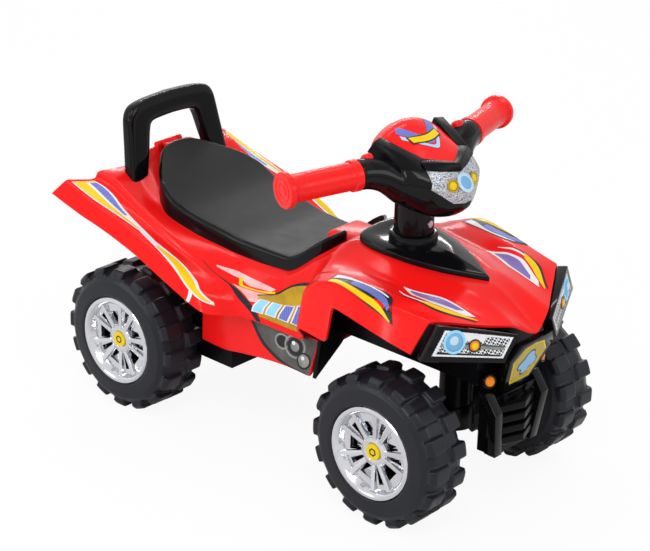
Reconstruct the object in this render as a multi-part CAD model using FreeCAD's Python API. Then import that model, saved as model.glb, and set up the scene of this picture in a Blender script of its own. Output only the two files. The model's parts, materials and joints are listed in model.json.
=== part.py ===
import FreeCAD, Part
import math
import os

V = FreeCAD.Vector

# Frame: +X forward, +Y left, +Z up, on the floor. Millimetres. Shapes are drawn about mid wheelbase and
# saved about the middle of the overall length.
lengthShift = 6.2

# Wheels and axles
wheelRadius = 92.4
wheelBase = 418.6
tyreInnerY = 90.0
tyreOuterY = 147.0
rimFaceY = 154.0
carcassRadius = 86.0
rimSeatRadius = 57.0
lugCount = 16
lugFill = 0.52
lugGap = 4.0
hubTubeRadius = 15.0
hubTubeReach = 22.0
hubTubeSet = 4.0
webThickness = 6.0
webY = 116.0
spokeCount = 5
spokeHalfWidth = 4.6
spokeSplit = 13.0
slitAngle = 5.0
slitReach = 40.0
windowAngle = 14.5
windowReach = 36.0
hubcapRim = 8.0
hubcapWall = 3.0
hubcapDish = 9.0
capRadius = 9.5
capThickness = 2.0
axleRadius = 5.0
axleOverhang = 6.0
nutWidth = 4.0
nutThickness = 3.0
washerWidth = 5.0

# Fits and walls
runningClearance = 0.08
fitGap = 0.3
restGap = 0.05
wall = 3.0
railParts = 3

# Rear axle housing
housingHalf = 20.0
housingFront = -78.0
tyreGap = 5.0
housingFoot = 74.0
housingTop = 109.8

# Steering
columnX = 135.2
columnRadius = 6.0
kingPinRadius = 7.0
leverReach = 34.0
leverWidth = 14.0
leverThickness = 6.0
linkThickness = 5.0
linkPinRadius = 4.0
openPivotClearance = 0.5
neckRadius = 23.4
neckTop = 346.0
collarRadius = 28.7
collarTop = 299.0
collarHeight = 9.0
bushRadius = 14.0
bushHeight = 20.0
clampHeight = 14.0
clampZ = 313.0
columnTop = 398.0
stemHalfWidth = 12.0
stemHeight = 18.0

# Front axle
beamDepth = 24.0
beamHeight = 24.0
beamHalfWidth = 80.0
barrelRadius = 23.0
bossRadius = 20.0
pinHeadWidth = 5.0
pinHeadHeight = 6.0

# Front box under the hood
boxHalfWidth = 58.0
boxRear = 80.0
boxFront = 282.0
boxFloor = 170.0
boxTop = 224.0
bossHeight = 9.0
postDepth = 12.0
postHalfWidth = 34.0
postFoot = 76.0

# Handlebar
gripOuter = V(103.8, 190.0, 389.9)
gripInner = V(131.0, 98.5, 391.5)
gripRadius = 16.0
flangeRadius = 20.5
flangeLength = 9.0
gripEnd = 3.0
collarFlangeRadius = 18.0
barRadius = 9.0
armRadius = 17.5
buttonY = 79.7
buttonRadius = 7.2
buttonHeight = 9.0
buttonTop = 21.5
buttonTravel = 2.5
buttonLean = 30.0

# Seat, tray and push handle
seatRise = 15.0
seatWall = 4.0
seatLift = 1.2
trayRear = -190.0
trayFront = -12.0
trayHalfWidth = 46.0
trayWall = 2.5
trayFoot = 140.0
handleDepth = 18.0
handleLean = 11.0
handleFootX = -257.0
handleFootZ = 262.0
handleSeatZ = 277.0
handleRound = 4.0
hingeX = -272.5
hingeZ = 301.3
hingePinRadius = 2.0
knuckleRadius = 3.8
knuckleHalf = 14.0
hingeLugOuter = 21.0

# Tank hump between seat and steering cover
humpRear = 22.0
humpFront = 84.0
humpHalfWidth = 30.0
humpTop = 275.0
humpBottom = 236.0
humpRound = 9.0

# Cowl and sound unit
cowlWall = 2.5
reflectorGap = 0.3
reflectorWall = 2.0
batteryFloor = 353.2
batteryRear = 111.8
batteryLength = 16.6
batteryHalfWidth = 26.0
batteryHeight = 17.0
batteryWall = 1.5
cellRadius = 6.5
boardZ = 342.6
boardRear = 161.0
boardFront = 186.0
boardHalfWidth = 20.0
boardThickness = 1.6
speakerRadius = 11.0
speakerHeight = 7.0

# Screws
screwRadius = 2.0
screwHead = 4.2
screwHeadHeight = 2.5
screwLength = 21.0
screwFit = 0.05

leverZ = boxFloor + wall + 9.0
rearX = -wheelBase / 2
frontX = wheelBase / 2
axleZ = wheelRadius

os.makedirs("parts", exist_ok=True)


def box(x0, x1, y0, y1, z0, z1):
    return Part.makeBox(x1 - x0, y1 - y0, z1 - z0, V(x0, y0, z0))


def rod(start, end, radius):
    direction = end.sub(start)
    return Part.makeCylinder(radius, direction.Length, start, direction)


def ring(start, end, outer, inner):
    return rod(start, end, outer).cut(rod(start, end, inner))


def polygon(points):
    return Part.makePolygon(points + [points[0]])


def prism(points, direction):
    return Part.Face(polygon(points)).extrude(direction)


def mirrored(shape):
    return shape.mirror(V(0, 0, 0), V(0, 1, 0))


def save(name, shape):
    if shape.ShapeType == "Compound" and len(shape.Solids) == 1:
        shape = shape.Solids[0]
    placed = shape.copy()
    placed.translate(V(lengthShift, 0, 0))
    placed.exportStep("parts/" + name + ".step")


def savePair(name, right):
    save(name + "_right", right)
    save(name + "_left", mirrored(right))


def group(shapes):
    return Part.makeCompound(shapes)


def slopes(values):
    # Slopes of a run through evenly spaced values that never overshoots them
    steps = [b - a for a, b in zip(values, values[1:])]
    inner = [0.0 if p * q <= 0 else 2 * p * q / (p + q) for p, q in zip(steps, steps[1:])]
    return [steps[0]] + inner + [steps[-1]]


def refine(values, parts):
    tangents = slopes(values)
    fine = []
    for k in range(len(values) - 1):
        a, b = values[k], values[k + 1]
        for step in range(parts):
            t = step / parts
            h = (1 + 2 * t) * (1 - t) ** 2 * a + t * (1 - t) ** 2 * tangents[k]
            fine.append(h + t * t * (3 - 2 * t) * b + t * t * (t - 1) * tangents[k + 1])
    return fine + [values[-1]]


def refinePoints(points, parts):
    return [V(*p) for p in zip(*[refine([q[i] for q in points], parts) for i in range(3)])]


def sheetGrid(rails, alongParts, acrossParts):
    # Rails run rearwards to forwards on the left half; the grid is mirrored to the right half
    runs = [refinePoints(rail, alongParts) for rail in rails]
    rows = [refinePoints([run[k] for run in runs], acrossParts) for k in range(len(runs[0]))]
    return [[V(p.x, -p.y, p.z) for p in row[:0:-1]] + row for row in rows]


def offsetGrid(grid, depth):
    rows, columns = len(grid), len(grid[0])
    moved = []
    for i in range(rows):
        line = []
        for j in range(columns):
            along = grid[min(i + 1, rows - 1)][j].sub(grid[max(i - 1, 0)][j])
            across = grid[i][min(j + 1, columns - 1)].sub(grid[i][max(j - 1, 0)])
            normal = along.cross(across)
            normal.normalize()
            line.append(grid[i][j].sub(normal.multiply(depth)))
        moved.append(line)
    return moved


def ruled(lines):
    return Part.makeLoft([Part.makePolygon(line) for line in lines], False, True)


def thickSkin(grid, depth):
    inner = offsetGrid(grid, depth)
    columns = list(zip(*grid))
    innerColumns = list(zip(*inner))
    sheets = [ruled(grid), ruled(inner)]
    sheets.append(ruled([grid[0], inner[0]]))
    sheets.append(ruled([grid[-1], inner[-1]]))
    sheets.append(ruled([list(columns[0]), list(innerColumns[0])]))
    sheets.append(ruled([list(columns[-1]), list(innerColumns[-1])]))
    shell = Part.makeShell([face for sheet in sheets for face in sheet.Faces])
    shell.sewShape()
    solid = Part.Solid(shell)
    if solid.Volume < 0:
        solid.reverse()
    return solid


def seatLine(x):
    # Height of the rim that the seat rests on
    knots = [(-280, 295), (-225, 268), (-170, 249.5), (-115, 236.5), (-60, 228), (-5, 227), (50, 264),
             (105, 300)]
    fine = refine([z for _, z in knots], 11)
    place = (x - knots[0][0]) / 5.0
    low = min(max(int(place), 0), len(fine) - 2)
    return fine[low] + (fine[low + 1] - fine[low]) * (place - low)


def dashPlane(x):
    # Height of the flat joint under the steering cover
    return 286.5 - 0.104 * (x - 85.0)


# Feature lines of the red moulding, from the rear edge to the front edge
spine = [(-284, 0, 282), (-277, 0, 299), (-268, 0, 288), (-212, 0, 262), (-157, 0, 245), (-109, 0, 234),
         (-72, 0, 228), (-38, 0, 226), (0, 0, 227), (48, 0, 261), (85, 0, 284), (118, 0, 282), (140, 0, 280),
         (194, 0, 274), (250, 0, 268.5), (320, 0, 227)]
seatEdge = [(-283, 40, 282), (-274, 40, 297), (-258, 47, 284), (-212, 60, 261.5), (-157, 64, 245),
            (-109, 67, 234), (-72, 69, 228), (-38, 70, 226), (0, 70, 227), (48, 60, 261), (85, 46, 284),
            (118, 48, 282), (140, 49, 280), (194, 42, 274), (240, 30, 269), (311, 30, 245)]
shoulder = [(-280, 70, 283), (-264, 66, 283), (-246, 74, 272), (-214, 82, 256), (-160, 84, 240),
            (-112, 84, 228), (-76, 82, 222), (-40, 80, 219), (0, 80, 221), (46, 76, 250), (84, 72, 274),
            (116, 74, 272), (140, 76, 269), (192, 74, 264), (232, 64, 261), (293, 58, 248)]
crease = [(-284, 110, 286), (-264, 107, 282), (-244, 106, 273), (-220, 106, 262), (-166, 108, 240),
          (-116, 106, 220), (-78, 102, 207), (-40, 93, 199), (2, 88, 200), (48, 88, 215), (86, 104, 262),
          (114, 106, 271), (138, 106, 272), (190, 104, 270), (222, 96, 268), (275, 88, 255)]
fenderRoot = [(-287, 113, 275), (-266, 110, 271), (-246, 109, 263), (-222, 109, 253), (-168, 111, 233),
              (-117, 109, 214.5), (-79, 106, 203), (-40, 98, 195), (2, 90, 196), (48, 90, 209),
              (86, 112, 261), (114, 115, 271.5), (138, 115, 273.5), (190, 112, 269.5), (220, 105, 267),
              (269, 97, 257)]
fenderEdge = [(-311, 138, 275), (-288, 139, 268), (-264, 139, 261), (-240, 139, 255), (-180, 139, 240),
              (-124, 138, 219), (-84, 134, 197), (-42, 108, 184), (2, 96, 184), (50, 95, 184), (88, 134, 250),
              (114, 136, 269), (140, 135, 274), (190, 129, 267), (216, 124, 264), (257, 116, 260)]
fenderLip = [(-333, 144, 252), (-304, 145, 245), (-276, 145, 238), (-245, 145, 232), (-185, 145, 216),
             (-118, 144, 190), (-70, 140, 172), (-36, 108, 167), (4, 99, 164), (50, 98, 163), (84, 138, 202),
             (124, 139, 199), (137, 139, 245), (192, 139, 235), (214, 139, 231), (249, 138, 225)]
upperRails = [spine, seatEdge, shoulder, crease, fenderRoot, fenderEdge, fenderLip]

# Feature lines of the red lower tub
tubRear = rearX + wheelRadius + tyreGap
tubWaist = -44.0
tubMid = (tubRear + tubWaist) / 2
tubFloor = [(tubRear, 0, 112), (tubMid, 0, 112), (tubWaist, 0, 116), (18, 0, 132), (77.6, 0, 159)]
tubEdge = [(tubRear, 86, 110), (tubMid, 86, 110), (tubWaist, 86, 114), (18, 86, 126), (76, 66, 154)]
skirtLow = [(tubRear, 98, 108), (tubMid, 98, 107), (tubWaist, 98, 112), (18, 100, 120), (72, 105, 122)]
skirtTop = [(tubRear, 96, 171.5), (tubMid, 96, 171.5), (tubWaist, 95, 170.5), (18, 94.0, 168.5),
            (77, 93.8, 168.5)]


def wheelBody():
    # Blow moulded wheel with a web and a hub tube, turned about the axle
    bore = axleRadius + runningClearance
    tyre = [(rimSeatRadius, tyreInnerY), (74.0, tyreInnerY - 2), (carcassRadius - 3, tyreInnerY + 3),
            (carcassRadius, tyreInnerY + 12), (carcassRadius + 1.5, (tyreInnerY + tyreOuterY) / 2),
            (carcassRadius, tyreOuterY - 8), (carcassRadius - 4, tyreOuterY + 2), (76.0, rimFaceY - 1),
            (rimSeatRadius + 6, rimFaceY), (rimSeatRadius, rimFaceY), (rimSeatRadius, webY + webThickness),
            (hubTubeRadius, webY + webThickness), (hubTubeRadius, webY + hubTubeReach),
            (bore, webY + hubTubeReach),
            (bore, tyreInnerY - hubTubeSet), (hubTubeRadius, tyreInnerY - hubTubeSet), (hubTubeRadius, webY),
            (rimSeatRadius, webY)]
    body = turned(tyre, 360.0)
    middle = (tyreInnerY + tyreOuterY) / 2
    lugOut = [(carcassRadius - 6, tyreOuterY + 2.0), (carcassRadius + 1, tyreOuterY + 3.5),
              (wheelRadius, tyreOuterY - 1), (wheelRadius, middle + lugGap),
              (carcassRadius - 3, middle + lugGap / 2)]
    lugIn = [(carcassRadius - 6, tyreInnerY + 2), (carcassRadius + 1, tyreInnerY - 1.5),
             (wheelRadius, tyreInnerY + 3), (wheelRadius, middle - lugGap),
             (carcassRadius - 3, middle - lugGap / 2)]
    pitch = 360.0 / lugCount
    lugs = []
    for k in range(lugCount):
        outer = turned(lugOut, pitch * lugFill)
        outer.rotate(V(0, 0, 0), V(0, 1, 0), pitch * (k - lugFill / 2) - 90)
        inner = turned(lugIn, pitch * lugFill)
        inner.rotate(V(0, 0, 0), V(0, 1, 0), pitch * (k + 0.5 - lugFill / 2) - 90)
        lugs += [outer, inner]
    return body.fuse(lugs)


def turned(profile, angle):
    # Profile points are radius and distance along the axle
    face = Part.Face(polygon([V(r, y, 0) for r, y in profile]))
    return face.revolve(V(0, 0, 0), V(0, 1, 0), angle)


def hubcap():
    # Plated dish with split spokes and open windows
    outer = rimSeatRadius - fitGap
    face = rimFaceY + 0.5
    bottom = webY + webThickness
    dishY = face - hubcapDish
    lip = outer - hubcapRim
    rim = turned([(outer, bottom), (outer, face - 2), (outer - 1.5, face), (outer - 5, face), (lip, face - 3),
                  (lip - hubcapWall, dishY - 4), (lip - hubcapWall, dishY - 7),
                  (outer - hubcapWall, dishY - 7), (outer - hubcapWall, bottom)], 360.0)
    bore = hubTubeRadius + fitGap
    hub = turned([(bore, bottom + 1), (bore + 5, bottom + 1), (bore + 5, dishY - 6), (bore + 2, dishY),
                  (capRadius + 3, dishY + 1.5), (capRadius + fitGap, dishY), (0, dishY), (0, dishY - 1.2),
                  (bore, dishY - 1.2)], 360.0)
    plate = turned([(hubTubeRadius + 1, dishY - 5.5), (hubTubeRadius + 1, dishY - 1), (lip, dishY - 1.5),
                    (lip, dishY - 7)], 360.0)
    for k in range(spokeCount):
        plate = plate.cut(hubWindow(k, slitAngle, slitReach))
        plate = plate.cut(hubWindow(k + 0.5, windowAngle, windowReach))
    disc = rim.fuse(hub).fuse(plate)
    for k in range(spokeCount):
        for side in (-1, 1):
            root = spokeSection(V(hubTubeRadius + 1, side * 4.0, dishY), -6, 1)
            tip = spokeSection(V(lip, side * spokeSplit, dishY), -7, 3)
            blade = Part.makeLoft([root, tip], True, True)
            blade.rotate(V(0, 0, 0), V(0, 0, 1), k * 360.0 / spokeCount)
            blade.rotate(V(0, 0, 0), V(1, 0, 0), -90)
            disc = disc.fuse(blade)
    return disc


def hubWindow(place, halfAngle, reach):
    # Wedge between two blades, right through the plate
    t = math.tan(math.radians(halfAngle))
    inner = hubTubeRadius + 4.0
    corners = [(inner, -inner * t), (reach, -reach * t), (reach, reach * t), (inner, inner * t)]
    wedge = prism([V(x, webY, z) for x, z in corners], V(0, rimFaceY - webY, 0))
    wedge.rotate(V(0, 0, 0), V(0, 1, 0), -place * 360.0 / spokeCount)
    return wedge


def spokeSection(place, low, high):
    # Tapered section of one blade, standing along the axle
    crown = spokeHalfWidth * 0.6
    corners = [(spokeHalfWidth, low), (-spokeHalfWidth, low), (-crown, high), (crown, high)]
    return polygon([place.add(V(0, y, z)) for y, z in corners])


def centreCap():
    dishY = rimFaceY + 0.5 - hubcapDish
    return rod(V(0, dishY, 0), V(0, dishY + capThickness, 0), capRadius)


def placedWheel(shape, x):
    placed = shape.copy()
    placed.translate(V(x, 0, axleZ))
    return placed


wheelShapes = {"wheel": wheelBody(), "hubcap": hubcap(), "cap": centreCap()}
for name, shape in wheelShapes.items():
    for end, x in (("front", frontX), ("rear", rearX)):
        left = placedWheel(shape, x)
        save(name + "_" + end + "_left", left)
        save(name + "_" + end + "_right", mirrored(left))

# Axles, washers and push nuts
axleEnd = webY + hubTubeReach + axleOverhang
nutY = webY + hubTubeReach + fitGap
washerY = tyreInnerY - hubTubeSet - fitGap


def axleNuts(x):
    left = ring(V(x, nutY, axleZ), V(x, nutY + nutThickness, axleZ), axleRadius + nutWidth, axleRadius)
    return group([left, mirrored(left)])


def axleWashers(x):
    left = ring(V(x, beamHalfWidth, axleZ), V(x, washerY, axleZ), axleRadius + washerWidth, axleRadius)
    return group([left, mirrored(left)])


save("rear_axle", rod(V(rearX, -axleEnd, axleZ), V(rearX, axleEnd, axleZ), axleRadius))
save("rear_push_nuts", axleNuts(rearX))
save("rear_washers", axleWashers(rearX))
axleBore = rod(V(rearX, -axleEnd, axleZ), V(rearX, axleEnd, axleZ), axleRadius)
housing = box(rearX - housingHalf, housingFront, -beamHalfWidth, beamHalfWidth, housingFoot, housingTop)
housingInnerY = beamHalfWidth - wall
housing = housing.cut(box(rearX + housingHalf, housingFront - wall, -housingInnerY, housingInnerY,
                          housingFoot + wall, housingTop + 1))
save("rear_axle_housing", housing.cut(axleBore))

# Front axle carrier turning on the king pin
beamTop = axleZ + beamHeight / 2
beamRear = frontX - beamDepth / 2
beam = box(beamRear, beamRear + beamDepth, -beamHalfWidth, beamHalfWidth, axleZ - beamHeight / 2, beamTop)
beam = beam.fuse(rod(V(frontX, 0, axleZ - beamHeight / 2 - 4), V(frontX, 0, beamTop), barrelRadius))
stubs = []
for side in (-1, 1):
    stubStart = V(frontX, side * (kingPinRadius + 10), axleZ)
    stubs.append(rod(stubStart, V(frontX, side * axleEnd, axleZ), axleRadius))
beam = beam.cut(group(stubs))
pinBottom = axleZ - beamHeight / 2 - 10
pinTop = leverZ + leverThickness + 4
kingPin = rod(V(frontX, 0, pinBottom), V(frontX, 0, pinTop), kingPinRadius)
pinHeadTop = V(frontX, 0, pinBottom + pinHeadHeight)
kingPin = kingPin.fuse(rod(V(frontX, 0, pinBottom), pinHeadTop, kingPinRadius + pinHeadWidth))
beam = beam.cut(kingPin)
save("front_axle_beam", beam)
save("front_stub_axles", group(stubs))
save("king_pin", kingPin)
save("front_push_nuts", axleNuts(frontX))
save("front_washers", axleWashers(frontX))


def lever(x, radius):
    # Arm to the right of an upright shaft, with a pin for the steering link
    arm = box(x - leverWidth / 2, x + leverWidth / 2, -leverReach, 0, leverZ, leverZ + leverThickness)
    arm = arm.fuse(rod(V(x, 0, leverZ), V(x, 0, leverZ + leverThickness), radius + 6))
    arm = arm.fuse(rod(V(x, -leverReach, leverZ), V(x, -leverReach, leverZ + leverThickness), leverWidth / 2))
    arm = arm.cut(rod(V(x, 0, leverZ - 1), V(x, 0, leverZ + leverThickness + 1), radius))
    pinUp = leverZ + leverThickness + linkThickness + 2
    return arm.fuse(rod(V(x, -leverReach, leverZ), V(x, -leverReach, pinUp), linkPinRadius))


save("axle_lever", lever(frontX, kingPinRadius))
save("column_lever", lever(columnX, columnRadius))
linkZ = leverZ + leverThickness + fitGap
linkSide = -leverReach - leverWidth / 2
link = box(columnX, frontX, linkSide, linkSide + leverWidth, linkZ, linkZ + linkThickness)
for x in (columnX, frontX):
    link = link.fuse(rod(V(x, -leverReach, linkZ), V(x, -leverReach, linkZ + linkThickness), leverWidth / 2))
for x, clearance in ((columnX, runningClearance), (frontX, openPivotClearance)):
    eyeTop = V(x, -leverReach, linkZ + linkThickness + 1)
    eye = rod(V(x, -leverReach, linkZ - 1), eyeTop, linkPinRadius + clearance)
    link = link.cut(eye)
save("steering_link", link)

# Steering column, neck sleeve and their bearings
columnBottom = boxFloor + 1.0
column = rod(V(columnX, 0, columnBottom), V(columnX, 0, columnTop), columnRadius)
sleeveFoot = collarTop - collarHeight + fitGap
sleeve = ring(V(columnX, 0, sleeveFoot), V(columnX, 0, neckTop), neckRadius, neckRadius - wall)
clampLow = V(columnX, 0, clampZ - clampHeight / 2)
clampHigh = V(columnX, 0, clampZ + clampHeight / 2)
sleeve = sleeve.fuse(ring(clampLow, clampHigh, neckRadius - 1, columnRadius))


def screw(place, direction, grow):
    # Pan headed screw; place is under the head and the shank runs against the direction
    back = V(-direction.x, -direction.y, -direction.z)
    shank = Part.makeCylinder(screwRadius + grow, screwLength, place, back)
    head = Part.makeCylinder(screwHead + grow, screwHeadHeight, place, direction)
    return shank.fuse(head)


neckScrewPlace = V(columnX + neckRadius - 1.0, 0, clampZ)
neckHole = screw(neckScrewPlace, V(1, 0, 0), screwFit)
save("steering_column", column.cut(neckHole))
save("neck_sleeve", sleeve.cut(neckHole))
save("neck_screw", screw(neckScrewPlace, V(1, 0, 0), 0))
bushBottom = collarTop - collarHeight - bushHeight - 2
bushLow = V(columnX, 0, bushBottom)
bushHigh = V(columnX, 0, bushBottom + bushHeight)
save("column_bush", ring(bushLow, bushHigh, bushRadius, columnRadius + runningClearance))

# Front box that carries the king pin, the column foot and the front of the body
frame = box(boxRear, boxFront, -boxHalfWidth, boxHalfWidth, boxFloor, boxTop)
boxInnerY = boxHalfWidth - wall
frame = frame.cut(box(boxRear + wall, boxFront - wall, -boxInnerY, boxInnerY, boxFloor + wall, boxTop + 1))
bossBottom = beamTop + fitGap
bossTop = boxFloor + bossHeight
frame = frame.fuse(rod(V(frontX, 0, bossBottom), V(frontX, 0, bossTop), bossRadius))
frame = frame.fuse(rod(V(columnX, 0, boxFloor), V(columnX, 0, bossTop), columnRadius + 5))
pinBoreLow = V(frontX, 0, bossBottom - 1)
frame = frame.cut(rod(pinBoreLow, V(frontX, 0, bossTop + 1), kingPinRadius + runningClearance))
footBoreLow = V(columnX, 0, columnBottom - fitGap)
frame = frame.cut(rod(footBoreLow, V(columnX, 0, bossTop + 1), columnRadius + runningClearance))
frame = frame.fuse(box(boxFront - postDepth, boxFront, -postHalfWidth, postHalfWidth, postFoot, boxFloor + 1))
bulkheadHalf = [(105, 125), (60, 157), (boxHalfWidth - 10, boxFloor + 1), (boxHalfWidth - 10, 205), (93, 196)]
for side in (1, -1):
    bulkheadLoop = [V(boxRear - 2, y * side, z) for y, z in bulkheadHalf]
    frame = frame.fuse(prism(bulkheadLoop, V(wall + 2, 0, 0)))
crossDepth = 12.0
crossHeight = 10.0
crossFeet = (postFoot, 140.0)
crossHalfWidths = (36.0, 46.0)
screwY = 20.0
bodyScrews = []
bodyScrewHoles = []
for foot in crossFeet:
    for y in (-screwY, screwY):
        place = V(boxFront + crossDepth, y, foot + crossHeight / 2)
        bodyScrews.append(screw(place, V(1, 0, 0), 0))
        bodyScrewHoles.append(screw(place, V(1, 0, 0), screwFit))
save("front_subframe", frame.cut(bodyScrewHoles))
save("body_screws", group(bodyScrews))

# Push handle: an upside down U leaning back, its feet in the rear deck
outline = [(86, handleFootZ), (74, 350), (70, 358.5), (61.5, 365), (40, 369), (0, 371)]
hole = [(0, 341.5), (32, 339.5), (38, 336.5), (41, 330), (59, handleFootZ)]
handleBack = handleFootX - handleDepth / 2
ringPoints = [V(handleBack, y, z) for y, z in outline]
ringPoints += [V(handleBack, -y, z) for y, z in reversed(outline[:-1])]
holePoints = [V(handleBack, y, z) for y, z in hole]
holePoints = [V(p.x, -p.y, p.z) for p in reversed(holePoints[1:])] + holePoints
handle = prism(ringPoints, V(handleDepth, 0, 0)).cut(prism(holePoints, V(handleDepth, 0, 0)))
handle = handle.makeFillet(handleRound, [e for e in handle.Edges if abs(e.tangentAt(e.FirstParameter).x) < 0.1
                                         and e.BoundBox.ZMax > handleFootZ + 1 and e.Length > 3])
handle.rotate(V(handleFootX, 0, handleSeatZ), V(0, 1, 0), -handleLean)
save("push_handle", handle)


def lineAt(a, b, z):
    # Distance from the middle plane on a straight line of the handle outline
    return a[0] + (b[0] - a[0]) * (z - a[1]) / (b[1] - a[1])


def legHole(grow):
    low, high = handleFootZ - 22.0, handleFootZ + 38.0
    back = handleBack - grow
    corners = [(lineAt(outline[0], outline[1], low) + grow, low), (lineAt(hole[4], hole[3], low) - grow, low),
               (lineAt(hole[4], hole[3], high) - grow, high),
               (lineAt(outline[0], outline[1], high) + grow, high)]
    leg = prism([V(back, y, z) for y, z in corners], V(handleDepth + 2 * grow, 0, 0))
    leg.rotate(V(handleFootX, 0, handleSeatZ), V(0, 1, 0), -handleLean)
    return group([leg, mirrored(leg)])


# Red upper moulding
upper = thickSkin(sheetGrid(upperRails, railParts, 1), wall)
trayReach = 330.0
trayHoleY = trayHalfWidth + fitGap
trayOuter = box(trayRear - fitGap, trayFront + fitGap, -trayHoleY, trayHoleY, trayFoot, trayReach)
dashHole = [(90, 0), (100, 36), (130, 41), (165, 39), (200, 29), (225, 0)]
dashHolePoints = [V(x, y, 240) for x, y in dashHole] + [V(x, -y, 240) for x, y in reversed(dashHole[1:-1])]
upper = upper.cut(trayOuter)
upper = upper.cut(prism(dashHolePoints, V(0, 0, 80)))
humpHoleY = humpHalfWidth + fitGap
upper = upper.cut(box(humpRear - fitGap, humpFront + fitGap, -humpHoleY, humpHoleY, trayFoot, trayReach))
upper = upper.cut(legHole(fitGap + 0.1))
save("upper_body", upper)

# Red lower tub
lower = thickSkin(sheetGrid([tubFloor, tubEdge, skirtLow, skirtTop], railParts, 1), -wall)
save("lower_body", lower)

# Tank hump
hump = box(humpRear, humpFront, -humpHalfWidth, humpHalfWidth, humpBottom, humpTop)
humpEdges = [e for e in hump.Edges if e.BoundBox.ZMin > humpTop - 1 and e.BoundBox.XMin < humpFront - 1]
hump = hump.makeFillet(humpRound, humpEdges)
humpInnerY = humpHalfWidth - wall
hump = hump.cut(box(humpRear + wall, humpFront - wall, -humpInnerY, humpInnerY, humpBottom - 1, humpTop - wall))
save("tank_hump", hump)

# Steering cover with its collar
dashOutline = [(80, 0), (84, 30), (94, 43), (130, 50), (165, 47), (208, 36), (236, 16), (251, 0)]


def coverSolid(inset, top, collar):
    # Dome from the flat joint up to the collar
    rows = dashOutline + [(x, -y) for x, y in reversed(dashOutline[1:-1])]
    centre = V(columnX, 0, 0)
    rings = []
    for reachShare, riseShare in ((1.0, 0.0), (0.72, 0.62), (0.36, 0.94), (0.0, 1.0)):
        line = []
        for x, y in rows:
            out = V(x, y, 0).sub(centre)
            far = out.Length - inset
            out.normalize()
            reach = collar + (far - collar) * reachShare
            foot = dashPlane(centre.x + out.x * far) - (0.1 if inset else 0)
            line.append(centre.add(V(out.x * reach, out.y * reach, foot + (top - foot) * riseShare)))
        rings.append(polygon(line))
    return Part.makeLoft(rings, True, True)


collarFoot = collarTop - collarHeight
cover = coverSolid(0, collarFoot, collarRadius - 1)
cover = cover.cut(coverSolid(wall, collarFoot - wall, collarRadius - 1 - wall))
tower = ring(bushLow, V(columnX, 0, collarFoot), bushRadius + wall, bushRadius)
collarLow = V(columnX, 0, collarFoot - 4)
cover = cover.fuse(ring(collarLow, V(columnX, 0, collarTop), collarRadius, neckRadius + fitGap))
cover = cover.fuse(tower)
cover = cover.fuse(ring(collarLow, V(columnX, 0, collarFoot), collarRadius, bushRadius))
cover = cover.cut(rod(V(columnX, 0, bushBottom - 1), V(columnX, 0, bushBottom + bushHeight), bushRadius))
cover = cover.cut(rod(V(columnX, 0, bushBottom - 1), V(columnX, 0, collarTop + 1), columnRadius + 2))
save("dash_cover", cover)

# Storage tray under the seat
seatStations = [-280 + 5 * k for k in range(72)]


def underSeat(x, rise):
    return seatLine(x) + seatLift + rise


def seatSlab(low, high):
    # Slab that follows the seat line, between two heights above its underside
    top = [V(x, -120, underSeat(x, high)) for x in seatStations]
    bottom = [V(x, -120, underSeat(x, low)) for x in seatStations]
    return prism(top + bottom[::-1], V(0, 240, 0))


tray = box(trayRear, trayFront, -trayHalfWidth, trayHalfWidth, trayFoot, trayReach)
trayInnerY = trayHalfWidth - trayWall
tray = tray.cut(box(trayRear + trayWall, trayFront - trayWall, -trayInnerY, trayInnerY, trayFoot + trayWall,
                    trayReach + 1))
tray = tray.cut(seatSlab(-restGap, trayReach))
save("storage_tray", tray)


def seatSolid(inset, low, high):
    plan = [(-270 + inset, 0), (-262 + inset, 30 - inset * 0.5), (-240 + inset * 0.5, 49 - inset),
            (-200, 59 - inset), (-140, 66 - inset), (-60, 70 - inset), (0, 70 - inset), (40, 62 - inset),
            (62 - inset, 50 - inset)]
    edge = refinePoints([(x, y, 200) for x, y in plan], 3)
    loop = edge + [V(p.x, -p.y, p.z) for p in reversed(edge[1:])]
    return prism(loop, V(0, 0, 140)).common(seatSlab(low, high))


seat = seatSolid(0, 0, seatRise)
seat = seat.cut(seatSolid(seatWall, -20, seatRise - seatWall))
seat = seat.cut(box(humpRear - wall, 120, -humpHalfWidth - wall, humpHalfWidth + wall, 180, 340))

# Hinge at the rear of the seat
knuckleLeft = V(hingeX, knuckleHalf, hingeZ)
knuckleRight = V(hingeX, -knuckleHalf, hingeZ)
seat = seat.fuse(rod(knuckleRight, knuckleLeft, knuckleRadius))
seat = seat.fuse(box(hingeX, hingeX + 8, -knuckleHalf, knuckleHalf, hingeZ - knuckleRadius, hingeZ + 1))
seat = seat.cut(rod(knuckleRight, knuckleLeft, hingePinRadius + runningClearance))
save("seat_lid", seat)
lugStart = knuckleHalf + 1.0
hinge = rod(V(hingeX, -hingeLugOuter, hingeZ), V(hingeX, hingeLugOuter, hingeZ), hingePinRadius)
lugHalf = 3.4
lugFoot = [V(hingeX - lugHalf, lugStart, hingeZ), V(hingeX + lugHalf, lugStart, hingeZ),
           V(hingeX + lugHalf, lugStart, hingeZ - 9.3), V(hingeX - lugHalf, lugStart, hingeZ - 4.6)]
lug = prism(lugFoot, V(0, hingeLugOuter - lugStart, 0))
lug = lug.fuse(rod(V(hingeX, lugStart, hingeZ), V(hingeX, hingeLugOuter, hingeZ), knuckleRadius)).cut(upper)
hinge = hinge.fuse(lug).fuse(mirrored(lug))
save("seat_hinge", hinge)

# Headlamps, nose housing and their printed panels
lampTopOuter = V(272, 117.6, 260)
lampLowOuter = V(267.4, 138.6, 225.4)
lampTopInner = V(316, 30, 235)
lampInnerShare = 0.8
lampDepth = 13.0
panelThickness = 1.5
noseDepth = 10.0


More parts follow.
